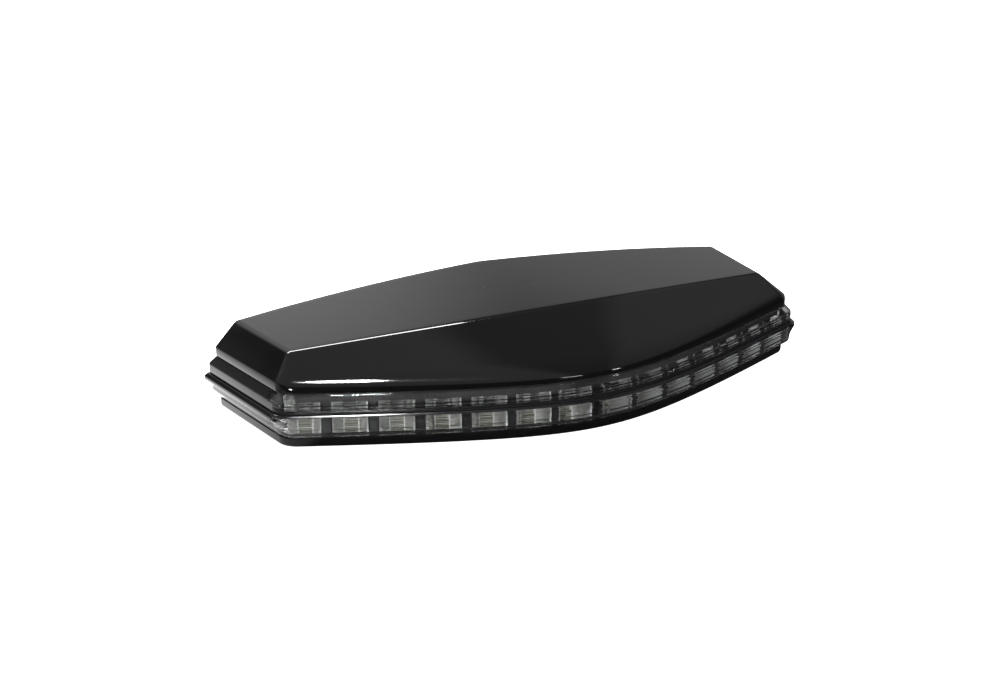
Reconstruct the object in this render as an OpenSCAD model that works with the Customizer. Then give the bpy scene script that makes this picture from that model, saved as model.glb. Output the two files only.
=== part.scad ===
// LED tail light for a motorcycle: a flat, long, faceted housing that lies on its mounting face.
// Glossy black cap on top, a stepped smoked lens band all round, a black base below.
// +X runs along the length, -Y is the lit nose that faces away from the motorcycle, +Z is up.
// The origin is the middle of the box, on the mounting face.

/* [Housing outline] */
// Overall length, tip to tip of the rim
rim_len = 150; // [145:1:155]
// Overall depth, from the nose of the rim to its back point
rim_depth = 70; // [68:0.5:72]
// Place of the widest point of the rim, along Y
wide_y = 21.4; // [20:0.1:22.5]
// How far the front corners stand in from the widest points
corner_in = 5.9; // [5:0.1:7]
// Place of the front corners, along Y
corner_y = -12.2; // [-13:0.1:-11]
// Softness of the rounded nose: larger is rounder
nose_soft = 25.5; // [20:0.5:32]
// Radius of the front corners
corner_r = 5; // [3:0.5:6]
// Place of the back shoulders, along X
shoulder_x = 64; // [62:0.5:66]
// Place of the back shoulders, along Y
shoulder_y = 27.9; // [27:0.1:28.5]

/* [Steps of the sides] */
// Inset of the cap's riser from the rim
cap_in = 2.5; // [2.3:0.1:2.8]
// Inset of the upper lens from the rim
upper_in = 1.05; // [0.8:0.05:1.4]
// Inset of the lower lens's first riser from the rim
lower_in = 1.4; // [1:0.1:1.8]
// Inset of the base from the rim
base_in = 2.8; // [2.5:0.1:3.2]
// Height of the base's top face
base_z = 2.1; // [2:0.1:2.3]
// Height of the rim's lower edge
rim_z = 6.9; // [6.8:0.1:7.1]
// Height of the seam between the two lenses
seam_z = 8.3; // [8.2:0.05:8.4]
// Height of the upper lens's shoulder
shoulder_z = 10.7; // [10.4:0.1:11]
// Height of the joint between cap and upper lens
joint_z = 12.6; // [12.6:0.1:12.8]
// Height of the crease at the top of the cap's riser
crease_z = 14.7; // [14.5:0.1:15]

/* [Cap] */
// Height of the top face at its two ends
plate_z = 19.2; // [19:0.1:19.8]
// Rise of the top face from its ends to its middle
plate_crown = 3.2; // [2.5:0.1:3.5]
// Half length of the top face at the back
plate_back_x = 66.1; // [65:0.1:66.5]
// Place of the top face's back corners, along Y
plate_back_y = 23.2; // [22.5:0.1:23.3]
// Place of the top face's back point, along Y
plate_apex_y = 30.5; // [30:0.1:31]
// Half length of the top face at the front
plate_front_x = 62.5; // [61:0.1:63.5]
// Place of the top face's front corners, along Y
plate_front_y = -3.6; // [-4:0.1:-3]
// How far the top face's front edge bows forward
plate_bow = 7; // [5:0.5:8]
// Wall thickness of the cap
cap_wall = 1.8; // [1.6:0.1:2]

/* [Light band] */
// Wall thickness of the lenses
lens_wall = 1.4; // [1.2:0.1:1.6]
// Distance from one light cell to the next
cell_pitch = 10.3; // [10:0.1:10.5]
// Light cells on each side of the nose
cells_per_side = 7; // [5:1:7]

/* [Mounting] */
// Distance between the two threaded inserts
insert_gap = 60; // [56:1:64]
// Radius inside the threaded inserts
insert_r = 2.1; // [2:0.05:2.2]
// Radius of the cable hole in the grommet
cable_r = 2.5; // [2:0.1:2.8]

/* [Hidden] */
$fn = 48;

// ---- plan outline of the rim, and the same outline set in by a distance
half_len = rim_len / 2;
half_depth = rim_depth / 2;
corner_x = half_len - corner_in;
nose_rise = (corner_y + half_depth) / (sqrt(corner_x * corner_x + nose_soft * nose_soft) - nose_soft);
function nose_y(x) = -half_depth + nose_rise * (sqrt(x * x + nose_soft * nose_soft) - nose_soft);
function nose_slope(x) = nose_rise * x / sqrt(x * x + nose_soft * nose_soft);
function unit(v) = v / norm(v);
function left_of(v) = [-v[1], v[0]];
// a rounded corner: its arc runs from the line that comes in along t1 to the line that leaves along t2
function turn(t1, t2) = acos(min(1, t1 * t2));
function arc_reach(t1, t2, r) = r * tan(turn(t1, t2) / 2);
function corner_arc(c, t1, t2, r, steps) =
    let (mid = c - t1 * arc_reach(t1, t2, r) + r * left_of(t1), from = atan2(t1[1], t1[0]))
    [for (k = [0:steps]) let (h = from + turn(t1, t2) * k / steps) mid + r * [sin(h), -cos(h)]];
// where two sides of the outline meet once both are set in by d
function meet_in(c, t1, t2, d) = c + d * (left_of(t1) + left_of(t2)) / (1 + t1 * t2);
function nose_in(x, d) = [x, nose_y(x)] + d * left_of(unit([1, nose_slope(x)]));
function mirrored(pts) = [for (i = [len(pts) - 1:-1:0]) [-pts[i][0], pts[i][1]]];

front_steps = 40;
corner_steps = 6;
back_steps = 3;
wide_r = 1;
shoulder_r = 2;
apex_r = 8;
front_corner = [corner_x, corner_y];
wide_corner = [half_len, wide_y];
shoulder = [shoulder_x, shoulder_y];
apex = [0, half_depth];
along_nose = unit([1, nose_slope(corner_x)]);
along_end = unit(wide_corner - front_corner);
along_shoulder = unit(shoulder - wide_corner);
along_back = unit(apex - shoulder);
past_apex = [along_back[0], -along_back[1]];
// the outline set in by d, counter-clockwise from above: nose, right end, back, left end
function set_in(d) =
    let (fc = meet_in(front_corner, along_nose, along_end, d),
        reach = (fc - along_nose * arc_reach(along_nose, along_end, corner_r)
            - d * left_of(along_nose))[0],
        right_side = concat(corner_arc(fc, along_nose, along_end, corner_r, corner_steps),
            corner_arc(meet_in(wide_corner, along_end, along_shoulder, d),
                along_end, along_shoulder, wide_r, back_steps),
            corner_arc(meet_in(shoulder, along_shoulder, along_back, d),
                along_shoulder, along_back, shoulder_r, back_steps)),
        back_point = corner_arc(meet_in(apex, along_back, past_apex, d), along_back, past_apex,
            apex_r, back_steps))
    concat([for (i = [1:front_steps - 1]) nose_in(reach * (2 * i / front_steps - 1), d)],
        right_side, back_point, mirrored(right_side));
rim_pts = set_in(0);
count = len(rim_pts);

// ---- closed solids from rings of points: ring after ring, each joined to the next
function ring_at(d, z) = [for (p = set_in(d)) [p[0], p[1], z]];
function between(rings) = [for (r = [0:rings - 2]) for (i = [0:count - 1])
    let (j = (i + 1) % count, a = r * count, b = a + count)
    each [[a + i, b + i, b + j], [a + i, b + j, a + j]]];
function last_to_first(rings) = let (a = (rings - 1) * count) [for (i = [0:count - 1]) let (j = (i + 1) % count)
    each [[a + i, i, j], [a + i, j, a + j]]];

// a band that runs all round the housing: its section is a closed list of [inset, height]
module band(section)
    polyhedron(points = [for (s = section) each ring_at(s[0], s[1])],
        faces = concat(between(len(section)), last_to_first(len(section))));

// a solid slab whose edge follows the section, lowest first
module slab(section)
    polyhedron(points = [for (s = section) each ring_at(s[0], s[1])],
        faces = concat([[for (i = [0:count - 1]) i]], between(len(section)),
            [[for (i = [count - 1:-1:0]) (len(section) - 1) * count + i]]));

// a straight wall of the given insets and heights, with exact flat sides
module wall(outer, inner, low, high)
    translate([0, 0, low])
        linear_extrude(high - low)
            difference() {
                polygon(set_in(outer));
                polygon(set_in(inner));
            }

// a strip that follows the nose only, out to the given reach along X on the rim
strip_steps = 40;
function strip_x(reach) = [for (i = [0:strip_steps]) reach * (2 * i / strip_steps - 1)];
module nose_strip(outer, inner, reach, low, high)
    translate([0, 0, low])
        linear_extrude(high - low)
            polygon(concat([for (x = strip_x(reach)) nose_in(x, outer)],
                [for (x = strip_x(-reach)) nose_in(x, inner)]));

// ---- top cap
plate_mid_y = 8;
roll_high = 1.6;
roll_long = 0.2;
crease_high = 0.25;
crease_long = 0.03;
roll_steps = 5;
top_rings = 5;
function crown(x) = plate_z + plate_crown * (1 - pow(x / plate_back_x, 2));
// the top face's outline, point for point with the rim's outline
plate_corner_r = 0.8;
plate_back_r = 0.6;
plate_shoulder = 0.88;
plate_front = [plate_front_x, plate_front_y];
plate_back = [plate_back_x, plate_back_y];
plate_apex = [0, plate_apex_y];
along_plate = unit([1, 2 * plate_bow / plate_front_x]);
along_plate_end = unit(plate_back - plate_front);
along_plate_back = unit(plate_apex - plate_back);
past_plate_apex = [along_plate_back[0], -along_plate_back[1]];
plate_right = concat(
    corner_arc(plate_front, along_plate, along_plate_end, plate_corner_r, corner_steps),
    corner_arc(plate_back, along_plate_end, along_plate_back, plate_back_r, back_steps),
    [for (k = [0:back_steps]) plate_back + (1 - plate_shoulder + 0.01 * k) * (plate_apex - plate_back)]);
plate_reach = plate_right[0][0];
plate_pts = concat(
    [for (i = [1:front_steps - 1]) let (x = plate_reach * (2 * i / front_steps - 1))
        [x, plate_front_y - plate_bow * (1 - pow(x / plate_front_x, 2))]],
    plate_right, corner_arc(plate_apex, along_plate_back, past_plate_apex, apex_r, back_steps),
    mirrored(plate_right));
// how much of the soft roll-over a point has: all of it along the nose, none past the front corners
nose_count = front_steps - 1;
function roll_at(i) = i < nose_count ? 1
    : i <= nose_count + corner_steps ? 1 - (i - nose_count) / corner_steps
    : i >= count - 1 - corner_steps ? 1 - (count - 1 - i) / corner_steps
    : 0;
function mix3(a, b, t) = a + t * (b - a);
function bend(a, c, b, t) = mix3(mix3(a, c, t), mix3(c, b, t), t);
function plate_ring(shrink, drop) = [for (p = plate_pts)
    let (x = p[0] * shrink, y = plate_mid_y + (p[1] - plate_mid_y) * shrink) [x, y, crown(x) - drop]];
riser_pts = set_in(cap_in);
function roll_ring(t) = [for (i = [0:count - 1])
    let (w = roll_at(i), p = riser_pts[i], q = plate_pts[i],
        c = [p[0], p[1], crease_z],
        a = [p[0], p[1], crease_z - mix3(crease_high, roll_high, w)],
        b = mix3(c, [q[0], q[1], crown(q[0])], mix3(crease_long, roll_long, w)))
    bend(a, c, b, t)];
inner_shrink = 0.965;
module cap_shell() {
    inner_low = [ring_at(cap_in + cap_wall, joint_z), ring_at(cap_in + cap_wall, crease_z - 0.9)];
    inner_top = [for (r = [0:top_rings - 1]) plate_ring(inner_shrink * (1 - r / top_rings), cap_wall)];
    outer_side = concat([ring_at(cap_in, joint_z)], [for (k = [0:roll_steps]) roll_ring(k / roll_steps)]);
    outer_top = [for (r = [0:top_rings - 1]) plate_ring(1 - r / top_rings, 0)];
    rings = concat([for (r = [top_rings - 1:-1:0]) inner_top[r]], [inner_low[1], inner_low[0]],
        outer_side, outer_top);
    last = len(rings) * count;
    polyhedron(
        points = concat([for (r = rings) each r],
            [[0, plate_mid_y, crown(0) - cap_wall], [0, plate_mid_y, crown(0)]]),
        faces = concat(between(len(rings)),
            [for (i = [0:count - 1]) [last, i, (i + 1) % count]],
            [for (i = [0:count - 1]) [last + 1, last - count + (i + 1) % count, last - count + i]]));
}
post_r = 3.2;
post_low = 7.4;
post_pilot_r = 1.25;
post_pilot_deep = 8;
post_sink = 1;
back_post = [57, 13];
front_post = [24, -7];
post_places = [back_post, [-back_post[0], back_post[1]], front_post, [-front_post[0], front_post[1]]];
function post_high(p) = crown(p[0]) - post_sink;
module top_cap()
    color([0.02, 0.02, 0.022])
        difference() {
            union() {
                cap_shell();
                for (p = post_places)
                    translate([p[0], p[1], post_low]) cylinder(h = post_high(p) - post_low, r = post_r);
            }
            for (p = post_places)
                translate([p[0], p[1], post_low - 1]) cylinder(h = post_pilot_deep + 1, r = post_pilot_r);
        }

// ---- lens band and its seals
seal_thick = 0.25;
seal_back = 0.35;
seal_wide = 1.2;
gasket_z = seam_z + seal_thick;
rim_thick = 0.8;
rim_top = rim_z + rim_thick;
rim_under = 1.5;
lower_riser = 1.1;
lens_low = base_z + seal_thick;
seam_in = upper_in * (seam_z - rim_top) / (gasket_z - rim_top);
module cap_seal()
    color([0.03, 0.03, 0.03])
        wall(cap_in + seal_back, cap_in + seal_back + seal_wide, joint_z - seal_thick, joint_z);
module upper_lens()
    color([0.12, 0.12, 0.13, 0.6])
        band([[upper_in, gasket_z], [upper_in, shoulder_z], [cap_in, joint_z - seal_thick],
            [cap_in + lens_wall + 0.2, joint_z - seal_thick], [upper_in + lens_wall, shoulder_z - 0.5],
            [upper_in + lens_wall, gasket_z]]);
module seam_gasket()
    color([0.02, 0.02, 0.02])
        wall(upper_in + 0.2, upper_in + lens_wall, seam_z, gasket_z);
module lower_lens()
    color([0.12, 0.12, 0.13, 0.6])
        band([[base_in, lens_low], [lower_in, rim_z - rim_under - lower_riser], [lower_in, rim_z - rim_under],
            [0, rim_z], [0, rim_top], [seam_in, seam_z], [seam_in + lens_wall + 0.6, seam_z],
            [lens_wall + 0.7, rim_z], [lower_in + lens_wall, rim_z - rim_under],
            [lower_in + lens_wall, rim_z - rim_under - lower_riser], [base_in + lens_wall, lens_low]]);
module base_gasket()
    color([0.03, 0.03, 0.03])
        wall(base_in + seal_back, base_in + seal_back + seal_wide, base_z, lens_low);

// ---- base
insert_out_r = 3.5;
insert_len = 6.8;
boss_r = 5.6;
boss_high = 7.9;
insert_y = 12;
insert_places = [[insert_gap / 2, insert_y], [-insert_gap / 2, insert_y]];
board_low = 8.6;
board_thick = 1.6;
board_size = [100, 23];
board_mid_y = 9;
standoff_r = 2.5;
standoff_places = [for (x = [-1, 1]) for (y = [-1, 1]) [x * 46, board_mid_y + y * 8.5]];
head_r = 2.9;
head_deep = 2.1;
screw_r = 1.45;
sleeve_r = 4.2;
grommet_place = [0, 20];
grommet_r = 4.6;
grommet_neck_r = 3.6;
vent_place = [-14, 20];
vent_r = 2.5;
module base_plate()
    color([0.03, 0.03, 0.032])
        difference() {
            union() {
                slab([[base_in + 0.7, 0], [base_in + 0.25, 0.12], [base_in + 0.05, 0.35], [base_in, 0.7],
                    [base_in, base_z]]);
                for (p = insert_places) translate([p[0], p[1], 1]) cylinder(h = boss_high - 1, r = boss_r);
                for (p = post_places) translate([p[0], p[1], 1]) cylinder(h = post_low - 1, r = sleeve_r);
                for (p = standoff_places) translate([p[0], p[1], 1]) cylinder(h = board_low - 1, r = standoff_r);
            }
            for (p = insert_places) translate([p[0], p[1], -1]) cylinder(h = insert_len + 1, r = insert_out_r);
            for (p = post_places) {
                translate([p[0], p[1], -1]) cylinder(h = post_low + 2, r = screw_r + 0.15);
                translate([p[0], p[1], -1]) cylinder(h = head_deep + 1.4, r = head_r + 0.3);
            }
            for (p = standoff_places) translate([p[0], p[1], 4]) cylinder(h = board_low, r = 1);
            translate([grommet_place[0], grommet_place[1], -1]) cylinder(h = base_z + 2, r = grommet_neck_r);
            translate([vent_place[0], vent_place[1], -1]) cylinder(h = base_z + 2, r = vent_r);
        }

// ---- light cells: places along the nose, and what stands in each
cell_front = 4.9;
cell_deep = 6;
cell_back = 1;
first_cell = 5.9;
cell_wide = 7.8;
cell_narrow = 6.2;
mouth_wide = 7;
led_slot = 3.8;
led_window = 3.4;
strip_inset = 0.15;
rib_wide = 1.1;
rib_deep = 4.6;
// x of each cell's middle on the rim, stepping one pitch at a time along the curve
function cell_x(k) = k == 0 ? first_cell
    : let (x = cell_x(k - 1)) x + cell_pitch / sqrt(1 + pow(nose_slope(x + 0.45 * cell_pitch), 2));
function gap_x(k) = k == 0 ? 0 : (cell_x(k - 1) + cell_x(k)) / 2;
// moves its children to a place on the rim's nose, with +Y pointing into the housing
module on_nose(x)
    translate([x, nose_y(x), 0]) rotate(atan(nose_slope(x))) children();
module each_cell()
    for (s = [-1, 1]) for (k = [0:cells_per_side - 1]) on_nose(s * cell_x(k)) children();
// a row of reflector cups on one back strip
module cup_row(low, high, skin, led_high) {
    back = cell_front + cell_deep;
    difference() {
        union() {
            each_cell()
                translate([0, 0, low]) linear_extrude(high - low)
                    polygon([[-cell_wide / 2, cell_front], [cell_wide / 2, cell_front],
                        [cell_narrow / 2, back + cell_back / 2], [-cell_narrow / 2, back + cell_back / 2]]);
            nose_strip(back, back + cell_back, cell_x(cells_per_side - 1) + 0.4 * cell_narrow,
                low + strip_inset, high - strip_inset);
        }
        each_cell() {
            translate([0, 0, low + skin]) linear_extrude(high - low - 2 * skin)
                polygon([[-mouth_wide / 2, cell_front - 0.5], [mouth_wide / 2, cell_front - 0.5],
                    [led_slot / 2, back], [-led_slot / 2, back]]);
            translate([-led_window / 2, back - 0.2, (low + high - led_high) / 2 - 0.15])
                cube([led_window, cell_back + 1.2, led_high + 0.3]);
        }
    }
}
upper_low = 7.3;
upper_high = 11.6;
lower_low = 2.6;
lower_high = 6.8;
tail_led_high = 2;
brake_led_high = 2.8;
cup_skin = 0.5;
module reflector_upper()
    color([0.82, 0.83, 0.85]) cup_row(upper_low, upper_high, cup_skin, tail_led_high);
module reflector_lower()
    color([0.82, 0.83, 0.85]) cup_row(lower_low, lower_high, cup_skin, brake_led_high);
// clear drop-in optic of each upper cup: D-shaped, its round side to the front
optic_r = 2.1;
optic_high = 2.1;
module tail_optics()
    color([0.9, 0.92, 0.95, 0.5])
        each_cell()
            translate([0, cell_front + optic_r + 0.5, upper_low + cup_skin])
                intersection() {
                    cylinder(h = optic_high, r = optic_r);
                    translate([-optic_r, -optic_r, 0]) cube([2 * optic_r, optic_r, optic_high]);
                }

// ---- mask: black inner wall along the ends and back, shelf between the rows and ribs between the cups
mask_in = 4.7;
mask_wall = 1.2;
mask_high = joint_z - 0.1;
mask_front_y = -6;
shelf_low = lower_high + 0.05;
shelf_high = upper_low - 0.05;
shelf_back = cell_front + cell_deep + cell_back;
shelf_reach = corner_x - 1;
module light_mask()
    color([0.015, 0.015, 0.015])
        union() {
            difference() {
                wall(mask_in, mask_in + mask_wall, lens_low, mask_high);
                translate([-half_len, -half_depth, 0]) cube([rim_len, half_depth + mask_front_y, 20]);
            }
            intersection() {
                nose_strip(mask_in - 1, shelf_back, shelf_reach, shelf_low, shelf_high);
                linear_extrude(joint_z) polygon(set_in(mask_in));
            }
            for (s = [-1, 1]) for (k = [0:cells_per_side - 1])
                if (k > 0 || s > 0)
                    on_nose(s * gap_x(k))
                        translate([-rib_wide / 2, mask_in + 0.2, lower_low])
                            cube([rib_wide, rib_deep, upper_high - lower_low]);
        }

// ---- LED boards
flex_in = cell_front + cell_deep + cell_back + 0.1;
flex_thick = 0.5;
bracket_thick = 1.2;
flex_reach = corner_x - 4;
bracket_low = 2.6;
bracket_high = 12.2;
foot_deep = 5.6;
module led_flex_board()
    color([0.05, 0.16, 0.08])
        nose_strip(flex_in, flex_in + flex_thick, flex_reach, bracket_low, bracket_high);
bracket_in = flex_in + flex_thick;
bracket_reach = corner_x - 7;
bracket_screw_x = [10, 42];
module at_bracket_screws()
    for (s = [-1, 1]) for (x = bracket_screw_x) on_nose(s * x) translate([0, bracket_in + 3.4, 0]) children();
module led_bracket()
    color([0.7, 0.71, 0.73])
        difference() {
            union() {
                nose_strip(bracket_in, bracket_in + bracket_thick, bracket_reach, base_z, bracket_high);
                nose_strip(bracket_in, bracket_in + foot_deep, bracket_reach, base_z, base_z + bracket_thick);
            }
            for (p = post_places) translate([p[0], p[1], 0]) cylinder(h = 8, r = sleeve_r + 0.4);
            at_bracket_screws() cylinder(h = 8, r = 1.2);
        }
module small_screw(head, high, shank, length)
    union() {
        difference() {
            cylinder(h = high, r = head);
            translate([0, 0, high - 0.6]) cylinder(h = 1, r = head * 0.45, $fn = 6);
        }
        translate([0, 0, -length]) cylinder(h = length + 0.1, r = shank);
    }
module bracket_screws()
    color([0.6, 0.6, 0.62])
        at_bracket_screws()
            translate([0, 0, base_z + bracket_thick]) small_screw(2, 1.3, 0.95, bracket_thick - 0.05);
led_wide = 3;
led_deep = 1.1;
module led_row(low, high, size)
    each_cell()
        translate([-led_wide / 2, flex_in - led_deep - 0.02, (low + high - size) / 2])
            difference() {
                cube([led_wide, led_deep, size]);
                translate([led_wide / 2, 0.3, size / 2]) rotate([90, 0, 0]) cylinder(h = 1, r = size * 0.38);
            }
module tail_leds()
    color([0.9, 0.85, 0.5]) led_row(upper_low, upper_high, tail_led_high);
module brake_leds()
    color([0.9, 0.85, 0.5]) led_row(lower_low, lower_high, brake_led_high);

// ---- main board and what is soldered to it
board_top = board_low + board_thick;
module main_board()
    color([0.05, 0.25, 0.1])
        difference() {
            translate([-board_size[0] / 2, board_mid_y - board_size[1] / 2, board_low])
                cube([board_size[0], board_size[1], board_thick]);
            for (p = standoff_places) translate([p[0], p[1], board_low - 1]) cylinder(h = 4, r = 1.4);
        }
module board_screws()
    color([0.6, 0.6, 0.62])
        for (p = standoff_places) translate([p[0], p[1], board_top]) small_screw(2.3, 1.5, 1, 5);
module driver_chip()
    color([0.04, 0.04, 0.045])
        translate([14, 6, board_top]) {
            translate([-2, -2.5, 0.15]) cube([4, 5, 1.5]);
            for (s = [-1, 1]) for (k = [-1.5:1:1.5])
                translate([s * 2.6 - 0.7, k * 1.27 - 0.2, 0]) cube([1.4, 0.4, 0.35]);
        }
resistor_places = [for (k = [0:3]) for (s = [-1, 1]) [s * (22 + 5 * k), 0]];
module resistors()
    color([0.06, 0.06, 0.07])
        for (p = resistor_places) translate([p[0] - 1.6, p[1] - 0.8, board_top]) cube([3.2, 1.6, 0.6]);
can_r = 3.15;
can_high = 5;
module capacitors()
    color([0.7, 0.7, 0.72])
        for (s = [-1, 1])
            translate([s * 12, 14, board_top]) {
                translate([-can_r - 0.1, -can_r - 0.1, 0]) cube([2 * can_r + 0.2, 2 * can_r + 0.2, 0.8]);
                translate([0, 0, 0.7]) cylinder(h = can_high - 0.7, r = can_r);
            }
module rectifier_diodes()
    color([0.05, 0.05, 0.05])
        for (k = [0, 1, 2]) translate([-20 + 7 * k, 6, board_top]) translate([-2.1, -1.3, 0]) cube([4.2, 2.6, 2]);
connector_y = -1.5;
module ribbon_connector()
    color([0.85, 0.83, 0.76])
        translate([-6.5, connector_y - 1.5, board_top])
            difference() {
                cube([13, 4, 2.4]);
                translate([1, -1, 0.9]) cube([11, 3, 0.7]);
            }
ribbon_wide = 10;
ribbon_thick = 0.3;
// the ribbon leaves the flex board's upper edge, folds over the bracket and runs back to its connector
module ribbon_cable()
    color([0.75, 0.45, 0.15]) {
        start = nose_y(0) + flex_in;
        fold = nose_y(0) + bracket_in + bracket_thick + 0.6;
        run = board_top + 1.1;
        translate([-ribbon_wide / 2, 0, 0]) rotate([90, 0, 90]) linear_extrude(ribbon_wide)
            polygon([[start, bracket_high], [fold - ribbon_thick, bracket_high], [fold - ribbon_thick, run],
                [connector_y, run], [connector_y, run + ribbon_thick], [fold, run + ribbon_thick],
                [fold, bracket_high + ribbon_thick], [start, bracket_high + ribbon_thick]]);
    }
module wire_terminal()
    color([0.1, 0.25, 0.12])
        translate([-4.5, 16, board_top])
            difference() {
                cube([9, 4, 5.5]);
                for (k = [0:2]) translate([1.5 + 3 * k, -1, 1.8]) rotate([-90, 0, 0]) cylinder(h = 6, r = 0.9);
                for (k = [0:2]) translate([1.5 + 3 * k, 2, 3.5]) cylinder(h = 3, r = 1.1);
            }

// ---- fasteners, inserts and fittings of the base
screw_up = 7;
knurl_high = 1.8;
knurl_step = (insert_len - knurl_high) / 2;
module housing_screws()
    color([0.55, 0.55, 0.57])
        for (p = post_places)
            translate([p[0], p[1], head_deep + 0.3]) mirror([0, 0, 1]) {
                difference() {
                    cylinder(h = head_deep, r = head_r);
                    translate([0, 0, head_deep - 1.2]) cylinder(h = 2, r = 1.35, $fn = 6);
                }
                translate([0, 0, head_deep + 0.3 - post_low - screw_up])
                    cylinder(h = post_low + screw_up - head_deep - 0.2, r = post_pilot_r);
            }
module threaded_inserts()
    color([0.75, 0.6, 0.25])
        for (p = insert_places)
            translate([p[0], p[1], 0])
                difference() {
                    union() {
                        cylinder(h = insert_len, r = insert_out_r - 0.3);
                        for (k = [0:2])
                            translate([0, 0, k * knurl_step]) cylinder(h = knurl_high, r = insert_out_r);
                    }
                    translate([0, 0, -1]) cylinder(h = insert_len + 2, r = insert_r);
                }
module cable_grommet()
    color([0.05, 0.05, 0.05])
        translate([grommet_place[0], grommet_place[1], 0])
            difference() {
                union() {
                    translate([0, 0, 0.05]) cylinder(h = base_z + 1.5, r = grommet_neck_r);
                    translate([0, 0, base_z]) cylinder(h = 1.5, r = grommet_r);
                }
                translate([0, 0, -1]) cylinder(h = base_z + 4, r = cable_r);
            }
module breather_vent()
    color([0.1, 0.1, 0.1])
        translate([vent_place[0], vent_place[1], 0.4])
            difference() {
                union() {
                    cylinder(h = base_z - 0.4, r = vent_r);
                    translate([0, 0, base_z - 0.4]) cylinder(h = 0.8, r = vent_r + 1);
                }
                translate([0, 0, -1]) cylinder(h = 2, r = 1);
                for (a = [0:60:300]) rotate(a) translate([1.7, 0, -1]) cylinder(h = 2, r = 0.35);
            }

top_cap();
cap_seal();
upper_lens();
seam_gasket();
lower_lens();
base_gasket();
base_plate();
light_mask();
reflector_upper();
reflector_lower();
tail_optics();
led_flex_board();
led_bracket();
bracket_screws();
tail_leds();
brake_leds();
main_board();
driver_chip();
resistors();
capacitors();
rectifier_diodes();
ribbon_connector();
ribbon_cable();
wire_terminal();
board_screws();
housing_screws();
threaded_inserts();
cable_grommet();
breather_vent();
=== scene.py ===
# %% [markdown]
# # A motorcycle tail light, piece by piece
# The real object is a flat, six-cornered lamp: a glossy black cap, a stepped smoked lens band that runs
# all round it, two rows of ridged reflector cups behind the nose, and a black base that bolts down flat.
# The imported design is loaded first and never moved. What the eye meets (cap, lenses, base, mask, cups,
# optics, LEDs) is then remade here as fine meshes in the same places, and the hidden parts keep their
# exact shapes and get finishes of their own.

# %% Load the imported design
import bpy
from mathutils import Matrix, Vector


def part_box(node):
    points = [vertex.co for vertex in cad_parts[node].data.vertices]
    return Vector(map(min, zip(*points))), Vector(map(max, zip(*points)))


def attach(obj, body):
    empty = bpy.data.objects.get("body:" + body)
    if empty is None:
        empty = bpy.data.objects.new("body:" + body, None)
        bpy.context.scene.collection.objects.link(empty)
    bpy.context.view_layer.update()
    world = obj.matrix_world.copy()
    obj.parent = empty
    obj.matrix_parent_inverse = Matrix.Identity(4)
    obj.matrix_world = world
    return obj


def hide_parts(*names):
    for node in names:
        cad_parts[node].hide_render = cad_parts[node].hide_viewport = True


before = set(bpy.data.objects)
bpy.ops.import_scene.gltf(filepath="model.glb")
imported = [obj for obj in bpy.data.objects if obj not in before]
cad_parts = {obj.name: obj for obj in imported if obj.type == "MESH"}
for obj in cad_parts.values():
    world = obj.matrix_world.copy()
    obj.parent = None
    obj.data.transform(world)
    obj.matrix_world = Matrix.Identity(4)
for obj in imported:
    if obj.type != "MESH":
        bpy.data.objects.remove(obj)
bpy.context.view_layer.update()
print("pieces in the design:", len(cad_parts))

# %% Tools and units
import math

import bmesh
import bpy
import numpy as np
from mathutils import Matrix, Vector

MM = 0.001
scene = bpy.context.scene


def low_of(node):
    return np.array(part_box(node)[0]) / MM


def high_of(node):
    return np.array(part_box(node)[1]) / MM


# %% [markdown]
# ## Camera
# The lamp is seen from its front left and from a little above, through a moderately long lens, so that
# the long sides stay nearly parallel. A camera can be placed by typing a location, but it is easier to
# reason about as a turn, a height above the horizon and a distance, which is what is done here.

# %% Camera
camera_turn = math.radians(-26.6)
camera_rise = math.radians(19.77)
camera_roll = math.radians(-0.29)
camera_far = 374.2
camera_aside = -5.44
camera_up = 9.55
looked_at = np.array([0, 5.8, -0.8])
sensor_mm = 36
lens_mm = 54.91

back_way = np.array([math.sin(camera_turn) * math.cos(camera_rise),
                     -math.cos(camera_turn) * math.cos(camera_rise), math.sin(camera_rise)])
right_way = np.array([math.cos(camera_turn), math.sin(camera_turn), 0])
up_way = np.cross(back_way, right_way)
c, s = math.cos(camera_roll), math.sin(camera_roll)
rolled_right, rolled_up = c * right_way + s * up_way, c * up_way - s * right_way
place = looked_at + camera_aside * rolled_right + camera_up * rolled_up + camera_far * back_way
camera_data = bpy.data.cameras.new("camera")
camera_data.sensor_width = sensor_mm
camera_data.lens = lens_mm
camera_data.clip_start, camera_data.clip_end = 0.02, 30
camera = bpy.data.objects.new("camera", camera_data)
camera.matrix_world = Matrix((
    (*[w[0] for w in (rolled_right, rolled_up, back_way)], place[0] * MM),
    (*[w[1] for w in (rolled_right, rolled_up, back_way)], place[1] * MM),
    (*[w[2] for w in (rolled_right, rolled_up, back_way)], place[2] * MM), (0, 0, 0, 1)))
scene.collection.objects.link(camera)
scene.camera = camera
print("camera", [round(x, 1) for x in place], "mm")

# %% [markdown]
# ## Studio
# Gloss black has almost no colour of its own: what is seen of it is what it mirrors. So the room is
# built to be mirrored: a table that is white to the eye but mostly dark in the mirrored view, walls in
# greys that differ with height and side, one soft bright patch low behind the lamp for the top face, and
# five softboxes for the crisp highlights. A world made of direction-dependent nodes does the broad, soft
# part of this with no extra objects.

# %% World: grey room with a bright patch behind
scene.view_settings.view_transform = "Standard"
wall_grey = 0.14
low_wall, gap_wall, front_wall = 0.36, 0.05, 0.03
patch_way = Vector((0.06, 0.93, 0.37)).normalized()
patch_bright = 0.62
left_wall, right_wall = 0.24, 0.12
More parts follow.
